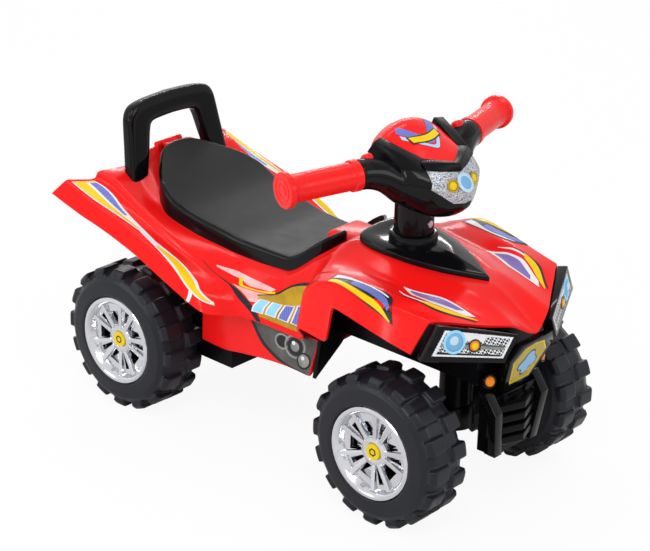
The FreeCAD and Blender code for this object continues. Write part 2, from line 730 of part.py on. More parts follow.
def lampPoint(u, v):
    across = lampTopInner.sub(lampTopOuter).multiply(u)
    down = lampLowOuter.sub(lampTopOuter).multiply(v * (1 - u * (1 - lampInnerShare)))
    return lampTopOuter.add(across).add(down)


def lampFace(u0, u1, v0, v1, out):
    normal = lampTopInner.sub(lampTopOuter).cross(lampLowOuter.sub(lampTopOuter))
    normal.normalize()
    shift = V(normal.x * out, normal.y * out, normal.z * out)
    return [lampPoint(u, v).add(shift) for u, v in ((u0, v0), (u1, v0), (u1, v1), (u0, v1))]


def lampBlock(u0, u1, v0, v1, front, back):
    frontWire = polygon(lampFace(u0, u1, v0, v1, front))
    return Part.makeLoft([frontWire, polygon(lampFace(u0, u1, v0, v1, back))], True, True)


lampHousing = lampBlock(0, 1, 0, 1.08, 0, -lampDepth)
panelCut = lampBlock(0.09, 0.95, 0.1, 0.9, 0.2, -panelThickness)
lampPanel = lampBlock(0.092, 0.948, 0.104, 0.896, 0, -panelThickness)
lampLeft = lampHousing.cut(panelCut)
save("headlamp_housing_left", lampLeft)
save("headlamp_housing_right", mirrored(lampLeft))
save("headlamp_panels", group([lampPanel, mirrored(lampPanel)]))


def nosePoint(y, z, out):
    return V(319 - 0.386 * (218 - z) + out, y, z)


def nosePrism(half, front, back):
    loop = half + [(-y, z) for y, z in reversed(half) if y > 0]
    return prism([nosePoint(y, z, front) for y, z in loop], V(back - front, 0, 0))


nose = nosePrism([(0, 222), (27, 222), (40, 204), (22, 150)], 0, -noseDepth)
nose = nose.cut(group([lampHousing, mirrored(lampHousing)]))
badge = nosePrism([(0, 216), (17, 214), (30, 198), (18, 163)], 0, -panelThickness)
save("nose_housing", nose.cut(badge))
save("nose_badge", badge)

# Bumper guard with two kinked bars, a turn lamp on each, and slats between them
barWidth = 13.0
barDepth = 10.0
barTop = V(289, 43, 158)
barKink = V(305, 43, 136)
barFoot = V(300, 33, 78)


def barPiece(a, b):
    sections = []
    for p in (a, b):
        half = V(0, barWidth / 2, 0)
        back = p.sub(V(barDepth, 0, 0))
        sections.append(polygon([p.sub(half), p.add(half), back.add(half), back.sub(half)]))
    return Part.makeLoft(sections, True, True)


guard = None
for bar in (barPiece(barTop, barKink), barPiece(barKink, barFoot)):
    for piece in (bar, mirrored(bar)):
        guard = piece if guard is None else guard.fuse(piece)
for foot, half in zip(crossFeet, crossHalfWidths):
    guard = guard.fuse(box(boxFront, boxFront + crossDepth, -half, half, foot, foot + crossHeight))
guard = guard.cut(bodyScrewHoles)
save("bumper_guard", guard)
slats = []
slatHeight = 8.0
for z in (132, 118, 104, 91):
    slatFront = [V(298, -34, z), V(310, 0, z), V(298, 34, z)]
    slat = prism(slatFront + [p.sub(V(10, 0, 0)) for p in reversed(slatFront)], V(0, 0, slatHeight))
    slats.append(slat.cut(guard))
save("grille_slats", group([s for slat in slats for s in slat.Solids]))
lampSeat = V(291, 45, 163)
lampOut = V(0.8, 0.25, 0.2)
turnLamp = Part.makeCylinder(8.0, 9.0, lampSeat, lampOut)
turnLamp = turnLamp.cut(guard)
save("turn_lamps", group([turnLamp, mirrored(turnLamp)]))

# Handlebar: bar, grips, buttons and the lamp cowl
gripAxis = gripOuter.sub(gripInner)
gripAxis.normalize()


def onGrip(y):
    share = (y - gripInner.y) / gripAxis.y
    return gripInner.add(V(gripAxis.x * share, gripAxis.y * share, gripAxis.z * share))


barCentre = onGrip(0)
barEnd = onGrip(gripOuter.y - gripEnd)
barLeft = rod(barCentre, barEnd, barRadius)
bar = barLeft.fuse(mirrored(barLeft))
stemLow = barCentre.z - stemHeight / 2
stemRear = columnX - stemHalfWidth
bar = bar.fuse(box(stemRear, barCentre.x, -stemHalfWidth, stemHalfWidth, stemLow, stemLow + stemHeight))
bar = bar.cut(column)
save("handlebar_tube", bar)

gripBore = barRadius + restGap
grip = ring(gripInner, gripOuter, gripRadius, gripBore)
grip = grip.fuse(ring(onGrip(gripOuter.y - flangeLength), gripOuter, flangeRadius, gripBore))
grip = grip.fuse(ring(gripInner, onGrip(gripInner.y + flangeLength), collarFlangeRadius, gripBore))
grip = grip.fuse(rod(onGrip(gripOuter.y - gripEnd + fitGap), gripOuter, gripBore + 1))
savePair("grip", mirrored(grip))

# Cowl sections: distance forward, then height and half width from the keel to the ridge
cowlStations = [(96, 356, 34, 360, 56, 388, 47, 411, 422), (119, 343, 40, 348, 66, 386, 57.6, 418, 431),
                (150, 337, 40, 343, 62, 379, 46, 405, 415), (182, 334, 36, 341, 50, 375, 36, 395.5, 400),
                (194, 335, 30, 343, 42, 375, 30, 388, 392.6), (210, 347, 7, 350, 9, 361, 7, 371, 373)]


def cowlSolid(inset):
    wires = []
    for k, (x, zb, yb, zb2, yw, zw, yt, zt, ztop) in enumerate(cowlStations):
        shift = inset if k == 0 else (-inset if k == len(cowlStations) - 1 else 0)
        halfPoints = [(0, zb + inset), (yb - inset * 0.5, zb2 + inset), (yw - inset, zw),
                      (yt - inset, zt - inset), (0, ztop - inset)]
        loopPoints = halfPoints + [(-y, z) for y, z in reversed(halfPoints[1:-1])]
        wires.append(polygon([V(x + shift, y, z) for y, z in loopPoints]))
    return Part.makeLoft(wires, True, True)


cowlShell = cowlSolid(0).cut(cowlSolid(cowlWall))


def planPrism(halfPoints, low, high):
    loopPoints = [V(x, y, low) for x, y in halfPoints]
    loopPoints += [V(x, -y, low) for x, y in reversed(halfPoints) if y > 0]
    return prism(loopPoints, V(0, 0, high - low))


def frontPrism(halfPoints, x0, x1):
    loopPoints = [V(x0, y, z) for y, z in halfPoints]
    loopPoints += [V(x0, -y, z) for y, z in reversed(halfPoints) if y > 0]
    return prism(loopPoints, V(x1 - x0, 0, 0))


shield = [(80, 36), (98, 40), (120, 44), (150, 37), (171, 30), (191.7, 0)]
topCut = planPrism(shield, 388, 450)
lensHalf = [(0, 388), (36, 394.5), (43, 375.5), (18, 356), (0, 354)]
lensCut = frontPrism(lensHalf, 160, 230)
bandLow = [V(80, -90, 424), V(80, -90, 470), V(230, -90, 470), V(230, -90, 370), V(206, -90, 381)]
bandSlab = prism(bandLow, V(0, 180, 0))
cowlTop = cowlShell.common(topCut)
restAfterTop = cowlShell.cut(topCut)
lens = restAfterTop.common(lensCut)
restAfterLens = restAfterTop.cut(lensCut)
barHalfSpace = rod(barCentre, barEnd, barRadius + restGap)
barSpace = group([barHalfSpace, mirrored(barHalfSpace)])
band = restAfterLens.common(bandSlab).cut(barSpace)
shellLow = restAfterLens.cut(bandSlab)
save("cowl_top", cowlTop)
save("cowl_frame", band)
save("lamp_lens", lens)
reflectorOuter = cowlWall + reflectorGap
reflector = cowlSolid(reflectorOuter).cut(cowlSolid(reflectorOuter + reflectorWall)).common(lensCut)
save("lamp_reflector", reflector)

# Arm sections: distance out from the middle, radius and drop below the bar
armSections = [(48.0, 28.0, 7.0), (64.0, 22.5, 4.0), (82.0, armRadius + 0.8, 1.0),
               (gripInner.y - fitGap, armRadius, 0)]
armRings = []
for y, radius, drop in armSections:
    centre = onGrip(y).sub(V(0, 0, drop))
    armRings.append(Part.Wire(Part.makeCircle(radius, centre, gripAxis)))
arm = Part.makeLoft(armRings, True, False)
arms = arm.fuse(mirrored(arm)).cut(cowlSolid(cowlWall))
arms = arms.cut(bandSlab)
housingBody = shellLow.fuse(arms)
housingBody = housingBody.cut(barSpace)
neckSpaceTop = V(columnX, 0, neckTop + restGap)
housingBody = housingBody.cut(rod(V(columnX, 0, collarTop), neckSpaceTop, neckRadius + restGap))
buttonAxis = V(-math.sin(math.radians(buttonLean)), 0, math.cos(math.radians(buttonLean)))
buttonSeat = onGrip(buttonY)


def alongButton(distance):
    return buttonSeat.add(V(buttonAxis.x * distance, 0, buttonAxis.z * distance))


buttonFoot = buttonTop - buttonHeight
wellFloor = alongButton(buttonFoot - buttonTravel - fitGap)
buttonWell = rod(wellFloor, alongButton(buttonTop + buttonHeight), buttonRadius + fitGap)
housingBody = housingBody.cut(buttonWell).cut(mirrored(buttonWell))
save("handlebar_housing", housingBody)
button = rod(alongButton(buttonFoot), alongButton(buttonTop), buttonRadius)
savePair("button", mirrored(button))

# Sound unit inside the cowl
batteryFront = batteryRear + batteryLength
batteryTop = batteryFloor + batteryHeight
case = box(batteryRear, batteryFront, -batteryHalfWidth, batteryHalfWidth, batteryFloor, batteryTop)
case = case.cut(box(batteryRear + batteryWall, batteryFront - batteryWall, -batteryHalfWidth + batteryWall,
                    batteryHalfWidth - batteryWall, batteryFloor + batteryWall, batteryTop + 1))
save("battery_box", case)
cellX = batteryRear + batteryLength / 2
cellZ = batteryFloor + batteryWall + cellRadius + restGap
cellHalf = batteryHalfWidth - batteryWall - fitGap
save("battery_cell", rod(V(cellX, -cellHalf, cellZ), V(cellX, cellHalf, cellZ), cellRadius))
boardTop = boardZ + boardThickness
save("sound_board", box(boardRear, boardFront, -boardHalfWidth, boardHalfWidth, boardZ, boardTop))
boardMiddle = (boardRear + boardFront) / 2
save("speaker", rod(V(boardMiddle, 0, boardTop), V(boardMiddle, 0, boardTop + speakerHeight), speakerRadius))
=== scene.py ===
import bpy
import json
import math
from mathutils import Matrix, Vector


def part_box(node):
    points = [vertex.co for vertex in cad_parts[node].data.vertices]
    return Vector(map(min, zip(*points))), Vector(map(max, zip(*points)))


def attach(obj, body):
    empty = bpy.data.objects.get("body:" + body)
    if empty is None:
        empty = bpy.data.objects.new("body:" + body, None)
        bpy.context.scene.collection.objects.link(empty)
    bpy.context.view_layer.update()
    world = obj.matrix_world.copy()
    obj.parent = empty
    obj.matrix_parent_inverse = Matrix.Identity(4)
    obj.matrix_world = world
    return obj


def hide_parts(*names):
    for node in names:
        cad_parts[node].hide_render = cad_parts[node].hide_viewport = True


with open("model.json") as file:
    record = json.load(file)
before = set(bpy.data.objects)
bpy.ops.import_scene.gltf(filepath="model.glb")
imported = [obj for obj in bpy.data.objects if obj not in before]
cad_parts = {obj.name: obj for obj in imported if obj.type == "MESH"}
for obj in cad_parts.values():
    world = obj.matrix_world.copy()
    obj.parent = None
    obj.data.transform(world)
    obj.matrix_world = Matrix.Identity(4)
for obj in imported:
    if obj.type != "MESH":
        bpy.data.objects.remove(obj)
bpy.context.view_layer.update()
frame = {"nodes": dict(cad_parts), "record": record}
nodes = frame["nodes"]
record = frame["record"]
bodyOf = {n: b for b, ns in record["behaviour"]["bodies"].items() for n in ns}
slotOf = {s["node"]: s["material_slot"] for s in record["subparts"]}
midShift = 0.0062  # the drawing's mid wheelbase against the frame's origin
weld = {"fine": 0.000005, "usual": 0.00001, "wide": 0.00002}  # gaps that are closed, in metres
crisp = {"small": 35.0, "usual": 40.0, "skin": 50.0, "soft": 60.0}  # sharper edges stay crisp, in degrees
print("frame loaded:", len(nodes), "nodes")


# finishes

surface = {
    "drift": 7.0,
    "smear": 55.0,
    "smearSpan": (0.8, 1.25),
    "grainDeep": 0.0004,
    "coatRough": 0.06,
    "plateDrift": 18.0,
    "plateSmear": 90.0,
    "plateSpan": (0.7, 1.5),
    "plateShade": 0.86,
    "waveDeep": 0.001,
    "facets": 560.0,
    "inkGrain": 700.0,
    "inkBump": (0.04, 0.0003),
    "meshCells": 430.0,
}


def startFinish(name, color, rough, mirror=0.15):
    mat = bpy.data.materials.new(name)
    mat.use_nodes = True
    tree = mat.node_tree
    shader = tree.nodes["Principled BSDF"]
    shader.inputs["Base Color"].default_value = (*color, 1)
    shader.inputs["Roughness"].default_value = rough
    shader.inputs["Specular IOR Level"].default_value = mirror
    where = tree.nodes.new("ShaderNodeTexCoord")
    return mat, tree, shader, where


def noiseAt(tree, where, scale, detail):
    noise = tree.nodes.new("ShaderNodeTexNoise")
    noise.inputs["Scale"].default_value = scale
    noise.inputs["Detail"].default_value = detail
    tree.links.new(where.outputs["Object"], noise.inputs["Vector"])
    return noise


def spread(tree, source, low, high):
    node = tree.nodes.new("ShaderNodeMapRange")
    node.inputs["To Min"].default_value = low
    node.inputs["To Max"].default_value = high
    tree.links.new(source, node.inputs["Value"])
    return node.outputs["Result"]


def tint(tree, shader, fac, colorA, colorB):
    mix = tree.nodes.new("ShaderNodeMix")
    mix.data_type = "RGBA"
    mix.inputs["A"].default_value = (*colorA, 1)
    mix.inputs["B"].default_value = (*colorB, 1)
    tree.links.new(fac, mix.inputs["Factor"])
    tree.links.new(mix.outputs["Result"], shader.inputs["Base Color"])
    return mix


def bump(tree, shader, height, strength, distance):
    node = tree.nodes.new("ShaderNodeBump")
    node.inputs["Strength"].default_value = strength
    node.inputs["Distance"].default_value = distance
    tree.links.new(height, node.inputs["Height"])
    tree.links.new(node.outputs["Normal"], shader.inputs["Normal"])


def moulded(name, color, rough, grainScale, grain, shade=0.9, coat=0.0, mirror=0.15):
    mat, tree, shader, where = startFinish(name, color, rough, mirror)
    drift = noiseAt(tree, where, surface["drift"], 2.0)
    tint(tree, shader, drift.outputs["Fac"], color, tuple(c * shade for c in color))
    smear = noiseAt(tree, where, surface["smear"], 4.0)
    low, high = (rough * k for k in surface["smearSpan"])
    tree.links.new(spread(tree, smear.outputs["Fac"], low, high), shader.inputs["Roughness"])
    fine = noiseAt(tree, where, grainScale, 3.0)
    bump(tree, shader, fine.outputs["Fac"], grain, surface["grainDeep"])
    shader.inputs["Coat Weight"].default_value = coat
    shader.inputs["Coat Roughness"].default_value = surface["coatRough"]
    return mat


def plated(name, color, rough, waveScale, wave):
    mat, tree, shader, where = startFinish(name, color, rough)
    shader.inputs["Metallic"].default_value = 1.0
    drift = noiseAt(tree, where, surface["plateDrift"], 2.0)
    tint(tree, shader, drift.outputs["Fac"], color, tuple(c * surface["plateShade"] for c in color))
    smear = noiseAt(tree, where, surface["plateSmear"], 3.0)
    low, high = (rough * k for k in surface["plateSpan"])
    tree.links.new(spread(tree, smear.outputs["Fac"], low, high), shader.inputs["Roughness"])
    soft = noiseAt(tree, where, waveScale, 2.0)
    bump(tree, shader, soft.outputs["Fac"], wave, surface["waveDeep"])
    return mat


def facetSilver(name):
    mat, tree, shader, where = startFinish(name, (0.82, 0.85, 0.9), 0.16)
    shader.inputs["Metallic"].default_value = 0.45
    cells = tree.nodes.new("ShaderNodeTexVoronoi")
    cells.inputs["Scale"].default_value = surface["facets"]
    tree.links.new(where.outputs["Object"], cells.inputs["Vector"])
    tint(tree, shader, cells.outputs["Distance"], (0.80, 0.83, 0.88), (0.10, 0.11, 0.14))
    bump(tree, shader, cells.outputs["Distance"], 0.8, 0.0012)
    return mat


def clearPlastic(name):
    mat, tree, shader, where = startFinish(name, (0.93, 0.97, 1.0), 0.05)
    shader.inputs["Transmission Weight"].default_value = 0.94
    shader.inputs["IOR"].default_value = 1.3
    soft = noiseAt(tree, where, 40.0, 2.0)
    tree.links.new(spread(tree, soft.outputs["Fac"], 0.02, 0.08), shader.inputs["Roughness"])
    return mat


def printed(name, colorA, colorB, rough=0.28, scale=26.0):
    mat, tree, shader, where = startFinish(name, colorA, rough)
    drift = noiseAt(tree, where, scale, 3.0)
    tint(tree, shader, drift.outputs["Fac"], colorA, colorB)
    fine = noiseAt(tree, where, surface["inkGrain"], 2.0)
    bump(tree, shader, fine.outputs["Fac"], *surface["inkBump"])
    return mat


def turnedCoords(tree, where, turn):
    place = tree.nodes.new("ShaderNodeMapping")
    place.inputs["Rotation"].default_value = turn
    tree.links.new(where.outputs["Object"], place.inputs["Vector"])
    return place.outputs["Vector"]


def hatched(name, colorA, colorB, scale, turn):
    mat, tree, shader, where = startFinish(name, colorA, 0.28)
    lines = tree.nodes.new("ShaderNodeTexWave")
    lines.inputs["Scale"].default_value = scale
    tree.links.new(turnedCoords(tree, where, turn), lines.inputs["Vector"])
    tint(tree, shader, lines.outputs["Fac"], colorA, colorB)
    return mat


def meshPrint(name):
    mat, tree, shader, where = startFinish(name, (0.8, 0.8, 0.8), 0.25)
    cells = tree.nodes.new("ShaderNodeTexChecker")
    cells.inputs["Scale"].default_value = surface["meshCells"]
    cells.inputs["Color1"].default_value = (0.78, 0.80, 0.82, 1)
    cells.inputs["Color2"].default_value = (0.012, 0.012, 0.014, 1)
    tree.links.new(turnedCoords(tree, where, (0.0, 0.35, 0.72)), cells.inputs["Vector"])
    tree.links.new(cells.outputs["Color"], shader.inputs["Base Color"])
    return mat


finishSpecs = {
    "redGloss": (moulded, (0.90, 0.010, 0.009), 0.17, 260.0, 0.02, 0.96, 0.0, 0.16),
    "redSatin": (moulded, (0.88, 0.012, 0.010), 0.26, 420.0, 0.05, 0.96, 0.0, 0.2),
    "blackGloss": (moulded, (0.004, 0.004, 0.005), 0.08, 240.0, 0.015, 0.8, 0.0, 0.16),
    "blackMatte": (moulded, (0.004, 0.004, 0.005), 0.28, 900.0, 0.10, 0.85, 0.0, 0.09),
    "seatGrain": (moulded, (0.010, 0.010, 0.011), 0.40, 1500.0, 0.25, 0.85, 0.0, 0.15),
    "wheelSatin": (moulded, (0.012, 0.013, 0.018), 0.32, 600.0, 0.16, 0.85, 0.0, 0.22),
    "hubPlate": (plated, (0.66, 0.67, 0.70), 0.12, 90.0, 0.45),
    "steelDrawn": (plated, (0.58, 0.58, 0.60), 0.28, 400.0, 0.10),
    "yellowGloss": (moulded, (0.83, 0.60, 0.01), 0.22, 300.0, 0.03, 0.93),
    "amberGloss": (moulded, (0.93, 0.24, 0.008), 0.16, 300.0, 0.04, 0.8, 0.1),
    "bearingWhite": (moulded, (0.72, 0.72, 0.69), 0.4, 500.0, 0.05, 0.94),
    "boardGreen": (moulded, (0.02, 0.16, 0.05), 0.4, 700.0, 0.1, 0.7),
    "cellBlue": (moulded, (0.07, 0.10, 0.35), 0.3, 500.0, 0.03, 0.85),
    "lensClear": (clearPlastic,),
    "lampSilver": (facetSilver,),
    "panelMesh": (meshPrint,),
    "inkWhite": (printed, (0.86, 0.86, 0.87), (0.76, 0.77, 0.80)),
    "inkBlack": (printed, (0.012, 0.012, 0.014), (0.03, 0.03, 0.035)),
    "inkYellow": (printed, (0.90, 0.66, 0.0), (0.88, 0.52, 0.0), 0.26, 14.0),
    "inkGold": (printed, (0.80, 0.52, 0.02), (0.16, 0.07, 0.02), 0.26, 40.0),
    "inkBlue": (hatched, (0.14, 0.30, 0.78), (0.16, 0.08, 0.34), 210.0, (0.0, 0.6, 0.9)),
    "inkViolet": (hatched, (0.34, 0.25, 0.62), (0.10, 0.06, 0.30), 240.0, (0.4, 0.2, 0.5)),
    "inkSky": (printed, (0.22, 0.62, 0.88), (0.40, 0.76, 0.95)),
    "inkGrey": (printed, (0.16, 0.16, 0.15), (0.03, 0.03, 0.03), 0.24, 40.0),
    "inkSteel": (printed, (0.45, 0.45, 0.43), (0.10, 0.10, 0.10), 0.24, 90.0),
    "inkSheen": (printed, (0.86, 0.80, 0.80), (0.86, 0.16, 0.14), 0.24, 70.0),
    "inkHatchGold": (hatched, (0.88, 0.62, 0.02), (0.06, 0.05, 0.02), 80.0, (0.785, 0.0, 1.571)),
    "lampBlue": (moulded, (0.20, 0.47, 0.78), 0.12, 300.0, 0.02, 0.8, 0.1),
    "lampPale": (moulded, (0.55, 0.76, 0.90), 0.12, 300.0, 0.02, 0.85, 0.1),
}
finishes = {name: make(name, *values) for name, (make, *values) in finishSpecs.items()}
slotFinish = {
    "red_plastic": "redGloss", "black_gloss": "blackGloss", "black_matte": "blackMatte",
    "seat_plastic": "seatGrain", "wheel_plastic": "wheelSatin", "plated_plastic": "hubPlate",
    "yellow_plastic": "yellowGloss", "amber_plastic": "amberGloss", "clear_plastic": "lensClear",
    "printed_panel": "panelMesh", "bearing_plastic": "bearingWhite", "steel": "steelDrawn",
    "circuit_board": "boardGreen", "cell_can": "cellBlue",
}
for name, node in nodes.items():
    node.data.materials.clear()
    node.data.materials.append(finishes[slotFinish[slotOf[name]]])
nodeFinish = {"lamp_reflector": "lampSilver", "seat_hinge": "redGloss", "body_screws": "blackMatte"}
for name, finish in nodeFinish.items():
    nodes[name].data.materials[0] = finishes[finish]
print("finishes made:", len(finishes))


# small tools for the pieces

def pick(obj):
    bpy.ops.object.select_all(action="DESELECT")
    obj.select_set(True)
    bpy.context.view_layer.objects.active = obj


def applied(obj, kind, **settings):
    pick(obj)
    bpy.ops.object.modifier_add(type=kind)
    mod = obj.modifiers[-1]
    for key, value in settings.items():
        setattr(mod, key, value)
    bpy.ops.object.modifier_apply(modifier=mod.name)


def inEdit(obj, *steps):
    pick(obj)
    bpy.ops.object.mode_set(mode="EDIT")
    bpy.ops.mesh.select_all(action="SELECT")
    for step in steps:
        step()
    bpy.ops.object.mode_set(mode="OBJECT")


def finishPiece(obj, body, slot, finish, angle=crisp["usual"]):
    pick(obj)
    bpy.ops.object.transform_apply(location=True, rotation=True, scale=True)
    bpy.ops.object.shade_smooth_by_angle(angle=math.radians(angle))
    obj.data.materials.clear()
    obj.data.materials.append(finishes[finish])
    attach(obj, body)
    return obj


def nodeCopy(node, name):
    obj = bpy.data.objects.new(name, nodes[node].data.copy())
    bpy.context.scene.collection.objects.link(obj)
    pick(obj)
    bpy.ops.mesh.customdata_custom_splitnormals_clear()
    inEdit(obj, lambda: bpy.ops.mesh.remove_doubles(threshold=weld["wide"]))
    return obj


def softened(node, name, finish, voxel, steps):
    # a moulded skin over the node with all its edges rounded
    obj = nodeCopy(node, name)
    applied(obj, "REMESH", mode="VOXEL", voxel_size=voxel)
    applied(obj, "SMOOTH", factor=0.5, iterations=steps)
    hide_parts(node)
    return finishPiece(obj, bodyOf[node], slotOf[node], finish, crisp["soft"])


def bevelled(node, name, finish, width, angle=30.0, flat=2.0):
    # the node's own faces with a small round on every sharp edge
    obj = nodeCopy(node, name)
    inEdit(obj, lambda: bpy.ops.mesh.dissolve_limited(angle_limit=math.radians(flat)))
    applied(obj, "BEVEL", width=width, segments=2, limit_method="ANGLE", angle_limit=math.radians(angle))
    inEdit(obj, lambda: bpy.ops.mesh.quads_convert_to_tris())
    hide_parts(node)
    return finishPiece(obj, bodyOf[node], slotOf[node], finish, crisp["small"])


def added(operator, name, **settings):
    bpy.ops.object.select_all(action="DESELECT")
    operator(**settings)
    obj = bpy.context.object
    obj.name = name
    return obj


def closedUp(obj, gap=weld["usual"], dissolve=False, fill=False):
    # doubles merged, slivers dissolved or holes filled where asked, faces turned outward
    steps = [lambda: bpy.ops.mesh.remove_doubles(threshold=gap)]
    if dissolve:
        steps.append(lambda: bpy.ops.mesh.dissolve_degenerate(threshold=gap))
    if fill:
        steps.append(lambda: bpy.ops.mesh.fill_holes(sides=0))
    inEdit(obj, *steps, lambda: bpy.ops.mesh.normals_make_consistent(inside=False))
    return obj


def faceOut(obj, out, face=0):
    # turns an open sheet over where it points away from out
    if obj.data.polygons[face].normal.dot(Vector(out)) < 0:
        inEdit(obj, lambda: bpy.ops.mesh.flip_normals())


def joined(first, *others):
    pick(first)
    for obj in others:
        obj.select_set(True)
    bpy.ops.object.join()
    return first


def gridSheet(name, alongCount, acrossCount, place):
    obj = added(bpy.ops.mesh.primitive_grid_add, name, size=2,
                x_subdivisions=alongCount, y_subdivisions=acrossCount)
    for v in obj.data.vertices:
        v.co = place((v.co.x + 1) / 2, (v.co.y + 1) / 2)
    return obj


def inFrame(x, y, z):
    return Vector((x / 1000 + midShift, y / 1000, z / 1000))


def slopesOf(values):
    steps = [b - a for a, b in zip(values, values[1:])]
    inner = [0.0 if p * q <= 0 else 2 * p * q / (p + q) for p, q in zip(steps, steps[1:])]
    return [steps[0]] + inner + [steps[-1]]


def along(values, t):
    # a smooth run through the values, t counts the stations
    k = min(max(int(t), 0), len(values) - 2)
    f = t - k
    m = slopesOf(values[max(k - 1, 0):k + 3])
    first = m[0] if k == 0 else m[1]
    second = m[1] if k == 0 else m[2]
    h = (1 + 2 * f) * (1 - f) ** 2 * values[k] + f * (1 - f) ** 2 * first
    return h + f * f * (3 - 2 * f) * values[k + 1] + f * f * (f - 1) * second


def alongPoints(points, t):
    return Vector([along([p[i] for p in points], t) for i in range(len(points[0]))])


def finePoints(points, parts=8):
    return [alongPoints(points, k / parts) for k in range(parts * (len(points) - 1) + 1)]


def between(upper, lower, u, v):
    # a spot between two runs of flat points
    pairs = []
    for i in (0, 1):
        a = along([p[i] for p in upper], u * (len(upper) - 1))
        b = along([p[i] for p in lower], u * (len(lower) - 1))
        pairs.append(a * (1 - v) + b * v)
    return pairs


def loopRun(points, t):
    # a smooth closed run through the points
    n = len(points)
    k = int(t) % n
    f = t - int(t)
    a, b, c, d = (points[(k + i) % n] for i in (-1, 0, 1, 2))
    bent = (a * 2 - b * 5 + c * 4 - d) * 0.5 * f * f
    return b + (c - a) * 0.5 * f + bent + (b * 3 - a - c * 3 + d) * 0.5 * f ** 3


def turnedMesh(name, start, axis, profile, count):
    # profile holds the distance along the axis and the radius, from one end to the other
    axis = Vector(axis).normalized()
    side = axis.orthogonal().normalized()
    other = axis.cross(side)
    rings = len(profile) - 1

    def place(u, v):
        d, r = profile[round(v * rings)]
        t = u * 2 * math.pi
        return Vector(start) + axis * d / 1000 + (side * math.cos(t) + other * math.sin(t)) * r / 1000

    return closedUp(gridSheet(name, count, rings, place), weld["fine"], dissolve=True)


def turnedPiece(name, start, axis, profile, body, slot, finish, count, node=None):
    obj = turnedMesh(name, start, axis, profile, count)
    if node:
        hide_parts(node)
    return finishPiece(obj, body, slot, finish, crisp["small"])


def prismTool(name, points, vector):
    # a closed prism from a loop of points
    obj = added(bpy.ops.mesh.primitive_circle_add, name, vertices=len(points), fill_type="NGON")
    for v, p in zip(obj.data.vertices, points):
        v.co = p
    inEdit(obj, lambda: bpy.ops.mesh.extrude_region_move(TRANSFORM_OT_translate={"value": vector}),
           lambda: bpy.ops.mesh.select_all(action="SELECT"),
           lambda: bpy.ops.mesh.normals_make_consistent(inside=False))
    return obj


def meshCopy(obj, name):
    twin = bpy.data.objects.new(name, obj.data.copy())
    bpy.context.scene.collection.objects.link(twin)
    return twin


def combined(obj, tool, operation):
    applied(obj, "BOOLEAN", operation=operation, object=tool, solver="EXACT")


def boxRun(name, sections, edgeRound=0.0009, angle=25.0):
    # a bar through four-cornered sections with crisp edges
    def place(u, v):
        return inFrame(*sections[round(u * (len(sections) - 1))][round(v * 4) % 4])

    obj = closedUp(gridSheet(name, len(sections) - 1, 4, place), fill=True)
    applied(obj, "BEVEL", width=edgeRound, segments=2, limit_method="ANGLE", angle_limit=math.radians(angle))
    return obj


def mirrored(section):
    return [(x, -y, z) for x, y, z in section]


def boxBetween(name, low, high):
    low, high = Vector(low), Vector(high)
    obj = added(bpy.ops.mesh.primitive_cube_add, name, size=1, location=(low + high) / 2)
    obj.scale = high - low
    bpy.ops.object.transform_apply(location=True, rotation=True, scale=True)
    return obj


def boxCut(obj, low, high):
    cutter = boxBetween("cutter", low, high)
    combined(obj, cutter, "DIFFERENCE")
    bpy.data.objects.remove(cutter)


# red mouldings, each a net of rails that run along the bike

upperBody = {
    "wall": 0.003,
    "soft": [0.4, 0.16, 0.24, 0.2, 0.3, 0.12, 0.0],
    "facing": 1,
    "rails": [
        [(-284, 0, 282), (-277, 0, 299), (-268, 0, 288), (-212, 0, 262), (-157, 0, 245), (-109, 0, 234),
         (-72, 0, 228), (-38, 0, 226), (0, 0, 227), (48, 0, 261), (85, 0, 284), (118, 0, 282), (140, 0, 280),
         (194, 0, 274), (250, 0, 268.5), (320, 0, 227)],
        [(-283, 40, 282), (-274, 40, 297), (-258, 47, 284), (-212, 60, 261.5), (-157, 64, 245),
         (-109, 67, 234), (-72, 69, 228), (-38, 70, 226), (0, 70, 227), (48, 60, 261), (85, 46, 284),
         (118, 48, 282), (140, 49, 280), (194, 42, 274), (240, 30, 269), (311, 30, 245)],
        [(-280, 70, 283), (-264, 66, 283), (-246, 74, 272), (-214, 82, 256), (-160, 84, 240),
         (-112, 84, 228), (-76, 82, 222), (-40, 80, 219), (0, 80, 221), (46, 76, 250), (84, 72, 274),
         (116, 74, 272), (140, 76, 269), (192, 74, 264), (232, 64, 261), (293, 58, 248)],
        [(-284, 110, 286), (-264, 107, 282), (-244, 106, 273), (-220, 106, 262), (-166, 108, 240),
         (-116, 106, 220), (-78, 102, 207), (-40, 93, 199), (2, 88, 200), (48, 88, 215), (86, 104, 262),
         (114, 106, 271), (138, 106, 272), (190, 104, 270), (222, 96, 268), (275, 88, 255)],
        [(-287, 113, 275), (-266, 110, 271), (-246, 109, 263), (-222, 109, 253), (-168, 111, 233),
         (-117, 109, 214.5), (-79, 106, 203), (-40, 98, 195), (2, 90, 196), (48, 90, 209),
         (86, 112, 261), (114, 115, 271.5), (138, 115, 273.5), (190, 112, 269.5), (220, 105, 267),
         (269, 97, 257)],
        [(-311, 138, 275), (-288, 139, 268), (-264, 139, 261), (-240, 139, 255), (-180, 139, 240),
         (-124, 138, 219), (-84, 134, 197), (-42, 108, 184), (2, 96, 184), (50, 95, 184), (88, 134, 250),
         (114, 136, 269), (140, 135, 274), (190, 129, 267), (216, 124, 264), (257, 116, 260)],
        [(-333, 144, 252), (-304, 145, 245), (-276, 145, 238), (-245, 145, 232), (-185, 145, 216),
         (-118, 144, 190), (-70, 140, 172), (-36, 108, 167), (4, 99, 164), (50, 98, 163), (84, 138, 202),
         (124, 139, 199), (137, 139, 245), (192, 139, 235), (214, 139, 231), (249, 138, 225)],
    ],
    "trayCut": ((-190.3, -46.3, 200), (-11.7, 46.3, 330)),
}
